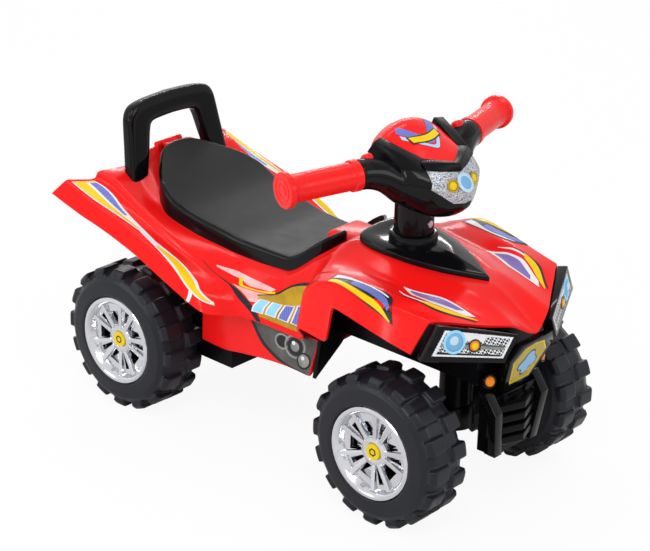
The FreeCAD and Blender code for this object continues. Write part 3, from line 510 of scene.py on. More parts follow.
lowerTub = {
    "wall": 0.003,
    "soft": [0.3, 0.25, 0.12, 0.0],
    "facing": -1,
    "rails": [
        [(-111.9, 0, 112), (-78, 0, 112), (-44, 0, 116), (18, 0, 132), (77.6, 0, 159)],
        [(-111.9, 86, 110), (-78, 86, 110), (-44, 86, 114), (18, 86, 126), (76, 66, 154)],
        [(-111.9, 98, 108), (-78, 98, 107), (-44, 98, 112), (18, 100, 120), (72, 105, 122)],
        [(-111.9, 96, 171.5), (-78, 96, 171.5), (-44, 95, 170.5), (18, 94.0, 168.5), (77, 93.8, 168.5)],
    ],
}


def roundedRun(points, r, soft):
    # straight runs between the points with a soft bend at each
    last = len(points) - 1

    def straight(t):
        k = min(max(int(t), 0), last - 1)
        return points[k].lerp(points[k + 1], t - k)

    k = round(r)
    w = soft[k]
    if k == 0 and r < w:
        other = Vector((points[0].x * 2 - straight(w).x, -straight(w).y, straight(w).z))
        t = (r + w) / (2 * w)
        return other * (1 - t) ** 2 + points[0] * 2 * t * (1 - t) + straight(w) * t * t
    if 0 < k < last and abs(r - k) < w:
        t = (r - k + w) / (2 * w)
        return straight(k - w) * (1 - t) ** 2 + points[k] * 2 * t * (1 - t) + straight(k + w) * t * t
    return straight(r)


def sheetAt(spec, s, r):
    # s counts the stations, r the rails, below zero on the right half
    p = roundedRun([alongPoints(rail, s) for rail in spec["rails"]], abs(r), spec["soft"])
    return Vector((p.x / 1000 + midShift, math.copysign(p.y, r) / 1000, p.z / 1000))


def outwardAt(spec, s, r):
    last = len(spec["rails"][0]) - 1
    top = len(spec["rails"]) - 1
    step = 0.02
    ds = sheetAt(spec, min(s + step, last), r) - sheetAt(spec, max(s - step, 0), r)
    dr = sheetAt(spec, s, min(r + step, top)) - sheetAt(spec, s, max(r - step, -top))
    return ds.cross(dr).normalized() * spec["facing"]


def makeSkin(spec, name, node, alongParts, acrossParts):
    last = len(spec["rails"][0]) - 1
    top = len(spec["rails"]) - 1
    obj = gridSheet(name, last * alongParts, top * 2 * acrossParts,
                    lambda u, v: sheetAt(spec, u * last, (v * 2 - 1) * top))
    inEdit(obj, lambda: bpy.ops.mesh.normals_make_consistent(inside=False))
    near = 0.05  # the first face is at the start of the last rail on the right
    faceOut(obj, outwardAt(spec, near, near - top))
    applied(obj, "SOLIDIFY", thickness=spec["wall"], offset=-1.0)
    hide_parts(node)
    return obj


upperPiece = makeSkin(upperBody, "upperMoulding", "upper_body", 9, 12)
boxCut(upperPiece, *(inFrame(*corner) for corner in upperBody["trayCut"]))
finishPiece(upperPiece, "chassis", "red_plastic", "redGloss", crisp["skin"])
lowerPiece = makeSkin(lowerTub, "lowerTub", "lower_body", 10, 10)
finishPiece(lowerPiece, "chassis", "red_plastic", "redGloss", crisp["skin"])
print("red mouldings made")


# stickers on the red mouldings: the edges in stations and rails, the ink and the lift

def decal(name, spec, upper, lower, finish, lift, count=36, across=6):
    for side, tag in ((-1, "Right"), (1, "Left")):

        def place(u, v):
            s, r = between(upper, lower, u, v)
            return sheetAt(spec, s, r * side) + outwardAt(spec, s, r * side) * lift

        obj = gridSheet(name + tag, count, across, place)
        faceOut(obj, outwardAt(spec, upper[1][0], upper[1][1] * side), count * across // 2)
        finishPiece(obj, "chassis", "printed_panel", finish)


stickers = {
    "rearWedge": ([(0.25, 4.1), (1.6, 4.12), (2.9, 4.3), (4.2, 4.6)],
                  [(0.25, 4.93), (1.6, 4.93), (2.9, 4.88), (4.2, 4.72)], "inkWhite", 0.0003),
    "rearYellow": ([(0.36, 4.5), (1.5, 4.56), (2.6, 4.62), (3.8, 4.66)],
                   [(0.36, 4.88), (1.5, 4.88), (2.6, 4.83), (3.8, 4.72)], "inkYellow", 0.0005),
    "rearHatch": ([(0.5, 4.17), (1.5, 4.2), (2.4, 4.3), (3.3, 4.48)],
                  [(0.5, 4.4), (1.5, 4.47), (2.4, 4.52), (3.3, 4.56)], "inkBlue", 0.0005),
    "rearEnd": ([(0.3, 4.14), (0.34, 4.14), (0.38, 4.14), (0.42, 4.14)],
                [(0.3, 4.9), (0.34, 4.9), (0.38, 4.9), (0.42, 4.9)], "inkYellow", 0.0006),
    "tailWhite": ([(3.9, 4.66), (4.9, 4.56), (5.7, 4.7), (6.4, 5.34)],
                  [(3.9, 4.8), (5.05, 5.1), (5.7, 5.42), (6.4, 5.5)], "inkWhite", 0.0003),
    "tailYellow": ([(4.4, 4.76), (4.95, 4.64), (5.65, 4.8), (6.3, 5.36)],
                   [(4.4, 4.86), (5.1, 5.0), (5.7, 5.3), (6.3, 5.44)], "inkYellow", 0.0005),
    "tailSlant": ([(5.62, 5.4), (5.57, 5.6), (5.51, 5.8), (5.46, 5.97)],
                  [(5.74, 5.44), (5.68, 5.62), (5.61, 5.81), (5.54, 5.97)], "inkWhite", 0.0003),
    "sideBlack": ([(5.25, 2.86), (6.4, 3.5), (7.4, 5.0), (7.66, 5.95)],
                  [(5.25, 2.9), (6.28, 3.66), (7.22, 5.2), (7.5, 5.97)], "inkBlack", 0.0003),
    "sideSheen": ([(5.7, 2.64), (6.5, 2.42), (7.2, 2.5), (7.95, 2.68)],
                  [(5.7, 2.72), (6.6, 2.7), (7.1, 2.9), (7.8, 2.86)], "inkSheen", 0.0004),
    "sidePale": ([(6.5, 3.3), (7.0, 3.3), (7.4, 3.36), (7.9, 3.2)],
                 [(6.75, 3.75), (7.1, 4.3), (7.35, 4.7), (7.9, 4.5)], "inkSheen", 0.0004),
    "sideLine": ([(6.7, 2.62), (6.86, 2.98), (7.35, 3.02), (7.95, 2.8)],
                 [(6.6, 2.68), (6.78, 3.16), (7.35, 3.2), (7.95, 2.94)], "inkYellow", 0.0007),
    "sideGold": ([(7.45, 4.0), (8.0, 2.95), (8.5, 2.55), (9.1, 2.7)],
                 [(7.62, 5.6), (8.1, 5.64), (8.6, 5.64), (9.3, 5.5)], "inkGold", 0.0005),
    "sideEdge": ([(7.4, 3.92), (7.96, 2.86), (8.5, 2.46), (9.1, 2.6)],
                 [(7.45, 4.0), (8.0, 2.95), (8.5, 2.55), (9.1, 2.7)], "inkBlack", 0.0006),
    "archBlack": ([(11.2, 3.75), (11.8, 3.4), (12.7, 3.34), (14.08, 5.47)],
                  [(11.3, 5.0), (12.0, 5.05), (12.8, 5.26), (14.08, 5.49)], "inkBlack", 0.0003),
    "archYellow": ([(11.42, 4.55), (12.1, 4.6), (12.8, 4.88), (13.92, 5.42)],
                   [(11.42, 4.92), (12.1, 4.98), (12.8, 5.18), (13.92, 5.46)], "inkYellow", 0.0005),
    "archHatch": ([(12.2, 3.95), (12.6, 3.9), (13.1, 4.3), (13.65, 5.0)],
                  [(12.2, 4.48), (12.6, 4.52), (13.1, 4.84), (13.65, 5.16)], "inkBlue", 0.0005),
    "archWhite": ([(11.3, 3.9), (11.9, 3.52), (12.5, 3.46), (13.2, 4.14)],
                  [(11.4, 4.45), (12.0, 4.15), (12.5, 3.8), (13.2, 4.26)], "inkWhite", 0.0006),
    "browWhite": ([(12.85, 2.0), (13.5, 1.95), (14.1, 1.9), (14.72, 1.95)],
                  [(12.9, 2.06), (13.5, 2.55), (14.1, 2.7), (14.66, 2.25)], "inkWhite", 0.0003),
    "browHatch": ([(13.1, 2.06), (13.6, 2.06), (14.0, 2.0), (14.5, 1.99)],
                  [(13.15, 2.16), (13.6, 2.46), (14.0, 2.54), (14.46, 2.22)], "inkViolet", 0.0005),
    "browLine": ([(13.0, 2.5), (13.5, 2.78), (14.0, 2.9), (14.4, 2.8)],
                 [(13.0, 2.54), (13.5, 2.9), (14.0, 3.04), (14.4, 2.9)], "inkWhite", 0.0003),
    "browYellow": ([(14.15, 2.8), (14.4, 2.62), (14.6, 2.36), (14.84, 2.06)],
                   [(14.05, 3.12), (14.34, 3.06), (14.6, 2.8), (14.84, 2.16)], "inkYellow", 0.0006),
    "browBlack": ([(13.3, 2.98), (13.8, 3.1), (14.34, 3.08), (14.9, 2.16)],
                  [(13.3, 3.02), (13.8, 3.2), (14.4, 3.3), (14.9, 2.3)], "inkBlack", 0.0004),
}
tubStickers = {
    "engineDark": ([(2.2, 2.97), (2.8, 2.97), (3.4, 2.97), (3.97, 2.97)],
                   [(2.3, 2.86), (2.7, 2.36), (3.2, 2.12), (3.97, 2.03)], "inkGrey", 0.0003),
    "engineEdge": ([(2.3, 2.86), (2.7, 2.36), (3.2, 2.12), (3.97, 2.03)],
                   [(2.22, 2.84), (2.63, 2.31), (3.16, 2.06), (3.97, 2.01)], "inkBlack", 0.0004),
}
slantMarks = {
    "finishes": ("inkSky", "inkSky", "inkBlue", "inkBlue", "inkViolet"),
    "start": 7.42,
    "step": 0.42,
    "across": (0.0, 0.1, 0.2, 0.26),
    "slant": 0.16,
    "top": 4.34,
    "low": 5.34,
    "climb": 0.03,
    "edge": 0.05,
}


def slantMark(name, k, grow, finish, lift):
    # one of a row of slanted marks, let out by grow on all sides
    across = slantMarks["across"][:-1] + (slantMarks["across"][-1] + grow * 2,)
    start = slantMarks["start"] + slantMarks["step"] * k - grow
    rise = slantMarks["climb"] * k
    top = [(start + t + slantMarks["slant"], slantMarks["top"] - rise - grow) for t in across]
    low = [(start + t, slantMarks["low"] - rise + grow) for t in across]
    decal(name + str(k), upperBody, top, low, finish, lift)


for spec, group in ((upperBody, stickers), (lowerTub, tubStickers)):
    for name, (upper, lower, finish, lift) in group.items():
        decal(name, spec, upper, lower, finish, lift)
for k, finish in enumerate(slantMarks["finishes"]):
    slantMark("markEdge", k, slantMarks["edge"], "inkWhite", 0.0007)
    slantMark("mark", k, 0.0, finish, 0.0009)
print("stickers made:", (len(stickers) + len(tubStickers) + len(slantMarks["finishes"]) * 2) * 2)

engineField = {"lastStation": 3.97, "lowRail": 2.05, "topRail": 2.96}
engineRings = {
    "drumRim": (3.42, 2.62, 0.30, 0.25, "inkSteel", 0.0005),
    "drumFace": (3.42, 2.62, 0.22, 0.13, "inkBlack", 0.0005),
    "drumHub": (3.42, 2.62, 0.12, 0.005, "inkSteel", 0.0005),
    "drumDot": (3.37, 2.70, 0.05, 0.005, "inkWhite", 0.0007),
    "coverRim": (3.05, 2.62, 0.20, 0.16, "inkSteel", 0.0004),
    "coverFace": (3.05, 2.62, 0.14, 0.005, "inkBlack", 0.0004),
    "pipeRim": (3.74, 2.36, 0.21, 0.17, "inkBlack", 0.0006),
    "pipeFace": (3.74, 2.36, 0.16, 0.005, "inkSteel", 0.0006),
    "pipeDot": (3.70, 2.42, 0.05, 0.005, "inkWhite", 0.0008),
}
for name, (station, rail, outer, inner, finish, lift) in engineRings.items():
    for side, tag in ((-1, "Right"), (1, "Left")):

        def place(u, v):
            reach = outer + (inner - outer) * v
            t = u * 2 * math.pi
            s = min(station + reach * math.cos(t), engineField["lastStation"])
            r = min(max(rail + reach * math.sin(t), engineField["lowRail"]), engineField["topRail"]) * side
            return sheetAt(lowerTub, s, r) + outwardAt(lowerTub, s, r) * lift

        obj = closedUp(gridSheet(name + tag, 40, 4, place), dissolve=True)
        faceOut(obj, (0, side, 0))
        finishPiece(obj, "chassis", "printed_panel", finish)
print("engine drawing made:", len(engineRings) * 2)


# seat lid with a rolled rim

seat = {
    "plan": [(-260, 0), (-258, 17), (-251, 33), (-242.5, 44), (-232, 55), (-221, 65.5), (-206, 76.5),
             (-182, 84.5), (-150, 82), (-95, 75), (-45, 71.5), (0, 69), (32, 64), (52, 51), (62, 34)],
    "parts": (110, 56),
    "knots": [295, 268, 249.5, 236.5, 228, 227, 264, 300],
    "firstKnot": -280.0,
    "knotStep": 55.0,
    "rise": 16.2,
    "rearLift": 8.0,
    "rearFrom": -150.0,
    "rearRun": 80.0,
    "rimRound": 6.0,
    "rimWidth": 4.0,
    "underside": 0.2,
    "deepest": 8.0,
    "lipWidth": 9.0,
    "castFrom": 400.0,
    "firstDrop": 4.0,
    "hump": ((19, -33, 150), (133.8, 33, 360)),
    "hinge": (-272.5, 301.3),
    "tubeHalf": 13.5,
    "tubeBore": 2.3,
    "tubeRadius": 3.8,
    "tab": [(-269.5, 298.4, 302.4), (-250, 296.5, 303.5)],
}


def seatHeight(x):
    return along(seat["knots"], (x - seat["firstKnot"]) / seat["knotStep"])


def rearLift(x):
    share = min(max((seat["rearFrom"] - x) / seat["rearRun"], 0.0), 1.0)
    return seat["rearLift"] * share * share * (3 - 2 * share)


def makeSeat():
    plan = [Vector(p) for p in seat["plan"]]
    edge = finePoints(plan)

    def halfWidth(x):
        for a, b in zip(edge, edge[1:]):
            if a.x <= x <= b.x and b.x > a.x:
                return a.y + (b.y - a.y) * (x - a.x) / (b.x - a.x)
        return edge[-1].y

    def inset(x, y):
        best = plan[-1].x - x
        for a, b in zip(edge, edge[1:]):
            run = b - a
            t = min(max((Vector((x, y)) - a).dot(run) / run.length_squared, 0), 1)
            best = min(best, (a + run * t - Vector((x, y))).length)
        return max(best, 0.0)

    def place(u, v):
        middle = (plan[0].x + plan[-1].x) / 2
        x = middle + (plan[0].x - middle) * math.cos(math.pi * u)
        y = halfWidth(x) * math.sin(math.pi * (v - 0.5))
        d = inset(x, abs(y))
        r = seat["rimRound"]
        drop = r - math.sqrt(max(r * r - (r - min(d, r)) ** 2, 0))
        return inFrame(x, y, seatHeight(x) + seat["rise"] + rearLift(x) - drop)

    def lowAt(spot):
        # the rim's foot follows the deck where the deck falls away under it
        x = (spot.x - midShift) * 1000
        base = seatHeight(x) + seat["underside"]
        hit, deck, normal, face = upperPiece.ray_cast((spot.x, spot.y, seat["castFrom"] / 1000), (0, 0, -1))
        fall = min(max(base - deck.z * 1000, 0), seat["deepest"]) if hit else 0
        return (base - fall * max(1 - inset(x, abs(spot.y) * 1000) / seat["lipWidth"], 0)) / 1000

    def placeLow(u, v):
        spot = place(u, v)
        spot.z = lowAt(spot)
        return spot

    obj = gridSheet("seatPad", *seat["parts"], place)
    inEdit(obj, lambda: bpy.ops.mesh.remove_doubles(threshold=weld["wide"]))
    count = len(obj.data.vertices)
    drop = (0, 0, -seat["firstDrop"] / 1000)
    inEdit(obj, lambda: bpy.ops.mesh.select_all(action="DESELECT"),
           lambda: bpy.ops.mesh.select_non_manifold(),
           lambda: bpy.ops.mesh.extrude_region_move(TRANSFORM_OT_translate={"value": drop}))
    for v in list(obj.data.vertices)[count:]:
        v.co.z = lowAt(v.co)
    closedUp(joined(obj, gridSheet("seatUnder", *seat["parts"], placeLow)), weld["wide"])
    boxCut(obj, *(inFrame(*corner) for corner in seat["hump"]))
    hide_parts("seat_lid")
    finishPiece(obj, "seat", "seat_plastic", "seatGrain", crisp["soft"])
    obj.data.materials.append(finishes["blackGloss"])
    for f in obj.data.polygons:
        d = inset((f.center.x - midShift) * 1000, abs(f.center.y) * 1000)
        f.material_index = 1 if d < seat["rimWidth"] else 0
    return obj


def addHingeTube(seatPiece):
    # the tube that the hinge pin runs through, on a tab at the rear of the seat
    x, z = seat["hinge"]
    half, bore, radius = seat["tubeHalf"], seat["tubeBore"], seat["tubeRadius"]
    tube = turnedMesh("seatTube", inFrame(x, -half, z), (0, 1, 0),
                      [(0, bore), (0, radius), (half * 2, radius), (half * 2, bore), (0, bore)], 32)
    tab = boxRun("seatTab", [[(x, half, low), (x, half, high), (x, -half, high), (x, -half, low)]
                             for x, low, high in seat["tab"]])
    for part in (tube, tab):
        part.data.materials.clear()
        part.data.materials.append(finishes["redGloss"])
    joined(seatPiece, tube, tab)


addHingeTube(makeSeat())
print("seat made")


# grips and buttons

grips = {
    "outer": (103.8, 190.0, 389.9),
    "inner": (131.0, 98.5, 391.5),
    "profile": [(0.1, 9.2), (0.1, 17.4), (0.7, 18.0), (8.3, 18.0), (9.2, 17.2), (9.6, 16.1), (30, 16.0),
                (60, 16.0), (85.0, 16.1), (86.4, 16.9), (87.6, 19.4), (88.6, 20.4), (94.6, 20.5), (95.4, 19.9),
                (95.5, 15.6), (94.7, 15.0), (94.6, 12.9), (95.3, 12.3), (95.4, 8.6), (94.7, 8.0), (94.6, 6.2),
                (95.4, 5.6), (95.5, 0.0)],
    "buttonY": 79.7,
    "buttonLean": 30.0,
    "button": [(12.5, 0), (12.5, 7.2), (17.2, 7.2), (18.8, 6.8), (20.2, 5.6), (21.1, 3.6), (21.5, 0)],
}
for side, tag in ((1, "left"), (-1, "right")):
    inner, outer = (inFrame(x, y * side, z) for x, y, z in (grips["inner"], grips["outer"]))
    turnedPiece("grip" + tag.title(), inner, outer - inner, grips["profile"],
                "steering", "red_plastic", "redSatin", 64, "grip_" + tag)
    share = (grips["buttonY"] - grips["inner"][1]) / (grips["outer"][1] - grips["inner"][1])
    lean = math.radians(grips["buttonLean"])
    turnedPiece("button" + tag.title(), inner.lerp(outer, share), (-math.sin(lean), 0, math.cos(lean)),
                grips["button"], "button_" + tag, "red_plastic", "redSatin", 40, "button_" + tag)
print("grips and buttons made")


# lamp cowl on the handlebar

cowl = {
    "sections": [(96, 358, 26, 362, 37, 388, 31, 408, 420), (119, 344, 36, 350, 53, 386, 42, 416, 430),
                 (150, 337, 40, 343, 61, 379, 43, 405, 415), (182, 334, 36, 341, 50, 375, 36, 395.5, 400),
                 (194, 335, 30, 343, 42, 375, 30, 388, 392.6), (210, 347, 7, 350, 9, 361, 7, 371, 373)],
    "shield": [(80, 36), (98, 40), (120, 44), (150, 37), (171, 30), (191.7, 0)],
    "lens": [(0, 388), (39, 394.5), (43, 375.5), (18, 356), (0, 354)],
    "band": [(106, 414), (106, 470), (230, 470), (230, 370), (206, 381)],
    "cheek": [[(112, 61, 404), (122, 61, 419), (119, 47, 421), (112, 44, 398)],
              [(150, 59.5, 391), (149, 51.5, 411.5), (145, 39, 412), (150, 38, 378)],
              [(188, 45, 377), (174.5, 41.5, 402.5), (168, 30.5, 404), (176, 30, 368)]],
    "rim": [[(184.5, 41.5, 395.5), (174.5, 41.5, 402.5), (168, 30.5, 404), (175, 32, 395)],
            [(193, 20.5, 392), (187, 20.5, 400.5), (179.5, 16, 401), (184, 17, 391)],
            [(200.5, 0, 389), (198.5, 0, 397.5), (189.5, 0, 398), (190, 0, 387)]],
    "armRings": [(30.0, 21.0, 26.0), (48.0, 24.0, 20.5), (56.0, 22.8, 15.5), (64.0, 21.0, 10.0),
                 (73.0, 19.2, 5.0), (82.0, 18.2, 2.0), (90.0, 17.6, 0.5), (98.2, 17.5, 0.0)],
    "shieldFoot": 388,
    "shieldTall": 0.062,
    "lensBack": 160,
    "lensDeep": 0.07,
    "bandHalf": 90,
    "voxel": 0.0013,
    "blendSteps": 12,
    "shellParts": (96, 50),
    "armParts": (48, 24),
    "castFrom": 480,
    "castMiss": 400,
    "lensCast": (250, 377),
}


def makeCowlShell():
    rows = []
    for x, zb, yb, zb2, yw, zw, yt, zt, ztop in cowl["sections"]:
        half = [(0, zb), (yb, zb2), (yw, zw), (yt, zt), (0, ztop)]
        rows.append([Vector((x, y, z)) for y, z in half + [(-y, z) for y, z in reversed(half[1:-1])]])

    corners = len(rows[0])

    def place(u, v):
        row = v * (len(rows) - 1)
        loop = [alongPoints([r[i] for r in rows], row) for i in range(corners)]
        return inFrame(*loopRun(loop, u * corners))

    return closedUp(gridSheet("cowlShell", *cowl["shellParts"], place), fill=True)


def addArms(shell):
    # the two arms grow out of the shell with soft hollows
    gripIn = Vector(grips["inner"])
    run = (Vector(grips["outer"]) - gripIn).normalized()
    rings = [(gripIn + run * ((y - gripIn.y) / run.y) - Vector((0, 0, drop)), r)
             for y, r, drop in cowl["armRings"]]
    across = run.orthogonal().normalized()
    upward = run.cross(across)
    for side in (1, -1):

        def place(u, v):
            k = v * (len(rings) - 1)
            centre = alongPoints([c for c, r in rings], k)
            radius = along([r for c, r in rings], k)
            t = u * 2 * math.pi
            p = centre + (across * math.cos(t) + upward * math.sin(t)) * radius
            return inFrame(p.x, p.y * side, p.z)

        arm = closedUp(gridSheet("cowlArm", *cowl["armParts"], place), fill=True)
        combined(shell, arm, "UNION")
        bpy.data.objects.remove(arm)
    applied(shell, "REMESH", mode="VOXEL", voxel_size=cowl["voxel"])
    applied(shell, "SMOOTH", factor=0.5, iterations=cowl["blendSteps"])


def bothHalves(half):
    # a half outline and its mirror image, as one loop in the frame
    return [inFrame(*p) for p in half] + [inFrame(x, -y, z) for x, y, z in reversed(half) if y > 0]


def makeCowl():
    shell = makeCowlShell()
    addArms(shell)
    shield = [(x, y, cowl["shieldFoot"]) for x, y in cowl["shield"]]
    top = prismTool("shieldTool", bothHalves(shield), (0, 0, cowl["shieldTall"]))
    lens = [(cowl["lensBack"], y, z) for y, z in cowl["lens"]]
    lensTool = prismTool("lensTool", bothHalves(lens), (cowl["lensDeep"], 0, 0))
    bandTool = prismTool("bandTool", [inFrame(x, -cowl["bandHalf"], z) for x, z in cowl["band"]],
                         (0, cowl["bandHalf"] * 2 / 1000, 0))
    cuts = []
    for name, tool in (("cowlTop", top), ("lampLens", lensTool), ("cowlFrame", bandTool)):
        cuts.append(meshCopy(shell, name))
        combined(cuts[-1], tool, "INTERSECT")
        combined(shell, tool, "DIFFERENCE")
        bpy.data.objects.remove(tool)
    topPiece, lensPiece, bandPiece = cuts
    shell.name = "cowlBody"
    rim = cowl["rim"] + [mirrored(section) for section in reversed(cowl["rim"][:-1])]
    joined(bandPiece, boxRun("cowlRim", rim), boxRun("cheekLeft", cowl["cheek"]),
           boxRun("cheekRight", [mirrored(section) for section in cowl["cheek"]]))
    for obj, node, finish in ((topPiece, "cowl_top", "redGloss"), (lensPiece, "lamp_lens", "lampSilver"),
                              (bandPiece, "cowl_frame", "blackMatte"),
                              (shell, "handlebar_housing", "blackGloss")):
        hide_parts(node)
        finishPiece(obj, "steering", slotOf[node], finish)
    return topPiece, lensPiece


cowlTopPiece, lensPiece = makeCowl()
print("cowl made")


def layDown(name, upper, lower, target, finish, lift, count=24, across=6):
    # a sticker let down from above on to a piece

    def place(u, v):
        x, y = between(upper, lower, u, v)
        hit, spot, normal, face = target.ray_cast(inFrame(x, y, cowl["castFrom"]), (0, 0, -1))
        return spot + normal * lift if hit else inFrame(x, y, cowl["castMiss"])

    obj = gridSheet(name, count, across, place)
    faceOut(obj, (0, 0, 1))
    finishPiece(obj, "steering", "printed_panel", finish)


cowlInks = {
    "crestBlue": ([(128, -30), (150, -12), (158, 0), (150, 12), (128, 30)],
                  [(121, -24), (140, -9), (146, 0), (140, 9), (121, 24)], "inkBlue", 0.0004),
    "crestSky": ([(137, -30), (158, -11), (166, 0), (158, 11), (137, 30)],
                 [(132, -29), (153, -11), (161, 0), (153, 11), (132, 29)], "inkSky", 0.0004),
    "crestBlack": ([(149, -24), (154, -8), (155, 0), (154, 8), (149, 24)],
                   [(138, -25), (143, -8), (144, 0), (143, 8), (138, 25)], "inkBlack", 0.0006),
    "crestYellow": ([(147.5, -22), (152.5, -8), (153.5, 0), (152.5, 8), (147.5, 22)],
                    [(139.5, -23), (144.5, -8), (145.5, 0), (144.5, 8), (139.5, 23)], "inkYellow", 0.0008),
}
for name, (upper, lower, finish, lift) in cowlInks.items():
    layDown(name, upper, lower, cowlTopPiece, finish, lift)
lensLamps = {
    "lensPool": ([(0.1, 12.0), (0.5, 11.4), (0.8, 9.0), (0.9, 0.0)], "lampPale", (0,)),
    "lensBlue": ([(0.8, 8.0), (1.3, 7.4), (1.7, 4.4), (1.9, 0.0)], "lampBlue", (0,)),
    "lensRing": ([(0.1, 7.4), (1.2, 7.4), (1.6, 6.6), (1.2, 5.4), (0.1, 5.4)], "inkGold", (18.5, -18.5)),
    "lensAmber": ([(0.1, 5.3), (1.2, 4.6), (1.8, 2.8), (2.0, 0.0)], "yellowGloss", (18.5, -18.5)),
}
castX, castZ = cowl["lensCast"]
for name, (profile, finish, places) in lensLamps.items():
    for k, y in enumerate(places):
        hit, spot, normal, face = lensPiece.ray_cast(inFrame(castX, y, castZ), (-1, 0, 0))
        turnedPiece(name + str(k), spot, normal, profile, "steering", "printed_panel", finish, 32)
print("cowl stickers and lens lamps made")


# moulded skins over the other visible pieces

softened("neck_sleeve", "neckTube", "blackGloss", 0.0011, 2)

hump = {"low": (22.2, -29.8, 236), "high": (84, 29.8, 275), "round": 0.011}


def makeHump():
    obj = boxBetween("tankHump", inFrame(*hump["low"]), inFrame(*hump["high"]))
    applied(obj, "BEVEL", width=hump["round"], segments=6, limit_method="ANGLE")
    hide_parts("tank_hump")
    finishPiece(obj, "chassis", "red_plastic", "redGloss", crisp["skin"])


makeHump()

handle = {
    "outer": [(86, 262), (79.5, 310), (74, 350), (70, 358.5), (61.5, 365), (40, 369), (0, 371)],
    "inner": [(59, 262), (48.5, 300), (41, 330), (38, 336.5), (32, 339.5), (18, 340.8), (0, 341.5)],
    "depth": 18.0,
    "footX": -257.0,
    "seatZ": 277.0,
    "lean": 11.0,
    "square": 0.45,
    "parts": (120, 48),
}


def makeHandle():
    # an upside down U with a softly squared section, leaning back
    last = len(handle["outer"]) - 1
    lean = math.radians(handle["lean"])

    def place(u, v):
        t = (1 - abs(u * 2 - 1)) * last
        side = 1 if u < 0.5 else -1
        outer, inner = alongPoints(handle["outer"], t), alongPoints(handle["inner"], t)
        wide, deep = (math.copysign(abs(f(v * 2 * math.pi)) ** handle["square"], f(v * 2 * math.pi))
                      for f in (math.cos, math.sin))
        p = (outer + inner) / 2 + (outer - inner) / 2 * wide
        x = handle["depth"] / 2 * deep
        z = p.y - handle["seatZ"]
        return inFrame(handle["footX"] + x * math.cos(lean) - z * math.sin(lean), p.x * side,
                       handle["seatZ"] + z * math.cos(lean) + x * math.sin(lean))

    obj = closedUp(gridSheet("pushHandle", *handle["parts"], place), fill=True)
    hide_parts("push_handle")
    finishPiece(obj, "chassis", "black_gloss", "blackGloss", crisp["skin"])


makeHandle()
print("neck, hump and handle made")

bevelPieces = {
    "headlamp_housing_left": ("lampBoxLeft", "blackGloss", 0.0012),
    "headlamp_housing_right": ("lampBoxRight", "blackGloss", 0.0012),
    "nose_housing": ("noseBox", "blackGloss", 0.0012),
    "bumper_guard": ("bumperBars", "blackGloss", 0.0015),
    "grille_slats": ("grilleSlats", "blackMatte", 0.0010),
    "rear_axle_housing": ("axleBox", "blackMatte", 0.0012),
    "front_axle_beam": ("axleBeam", "blackMatte", 0.0015),
}
for node, (name, finish, width) in bevelPieces.items():
    bevelled(node, name, finish, width)
print("bevelled skins made:", len(bevelPieces))


# steering cover, a pointed leaf with a thick rolled edge

dash = {
    "outline": [(80, 0), (83, 30), (93, 44), (118, 49), (155, 44), (198, 29), (228, 12.5), (248, 0)],
    "column": 135.2,
    "collar": 27.7,
    "top": 290.0,
    "profile": [(1.0, 0.0, -0.5), (1.0, 0.0, 4.2), (0.99, 0.0, 5.2), (0.965, 0.015, 5.7), (0.9, 0.09, 5.5),
                (0.75, 0.28, 4.8), (0.6, 0.48, 3.6), (0.45, 0.68, 2.4), (0.3, 0.84, 1.2), (0.15, 0.95, 0.4),
                (0.0, 1.0, 0.0)],
    "footTop": 286.5,
    "footFall": 0.104,
    "footFrom": 85.0,
    "wall": 0.002,
    "collarProfile": [(285, 23.8), (285, 28.7), (296.5, 28.7), (298.2, 28.2), (299, 27.0), (299, 24.6),
                      (298, 23.8), (285, 23.8)],
}


def makeDash():
    half = dash["outline"]
    fine = [p.to_3d() for p in finePoints(half)]
    loop = fine + [Vector((p.x, -p.y, 0)) for p in reversed(fine[1:-1])]
    centre = Vector((dash["column"], 0, 0))
    rings = len(dash["profile"]) - 1

    def place(u, v):
        share, rise, lift = dash["profile"][round(v * rings)]
        out = loop[round(u * len(loop)) % len(loop)] - centre
        reach = dash["collar"] + (out.length - dash["collar"]) * share
        foot = dash["footTop"] - dash["footFall"] * (dash["column"] + out.x - dash["footFrom"])
        p = centre + out.normalized() * reach
        return inFrame(p.x, p.y, foot + (dash["top"] - foot) * rise + lift)

    obj = closedUp(gridSheet("dashDome", len(loop), rings, place))
    faceOut(obj, (0, 0, 1), len(obj.data.polygons) // 2)
    applied(obj, "SOLIDIFY", thickness=dash["wall"], offset=-1.0)
    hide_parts("dash_cover")
    finishPiece(obj, "chassis", "black_gloss", "blackGloss", crisp["skin"])
    turnedPiece("dashCollar", inFrame(dash["column"], 0, 0), (0, 0, 1), dash["collarProfile"],
                "chassis", "black_gloss", "blackGloss", 64)


makeDash()
print("steering cover made")


# wheels: one is modelled and the others are copies of it

def moved(obj, name, node, shift, mirror):
    twin = meshCopy(obj, name)
    for v in twin.data.vertices:
        v.co = Vector((v.co.x + shift, -v.co.y if mirror else v.co.y, v.co.z))
    if mirror:
        inEdit(twin, lambda: bpy.ops.mesh.flip_normals())
    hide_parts(node)
    return finishPiece(twin, bodyOf[node], slotOf[node], obj.data.materials[0].name)


wheels = {
    "base": 0.4186,
    "voxel": 0.0015,
    "steps": 4,
    "hubEdge": 0.0006,
    "dish": 0.046,
    "markOut": 0.00015,
    "markSides": 6,
    "mark": [(-1.0, 5.4), (0.0, 5.2), (0.2, 4.6), (0.2, 3.8), (0.0, 3.4), (-1.0, 3.2)],
}


def titled(end):
    return end.title().replace("_", "")


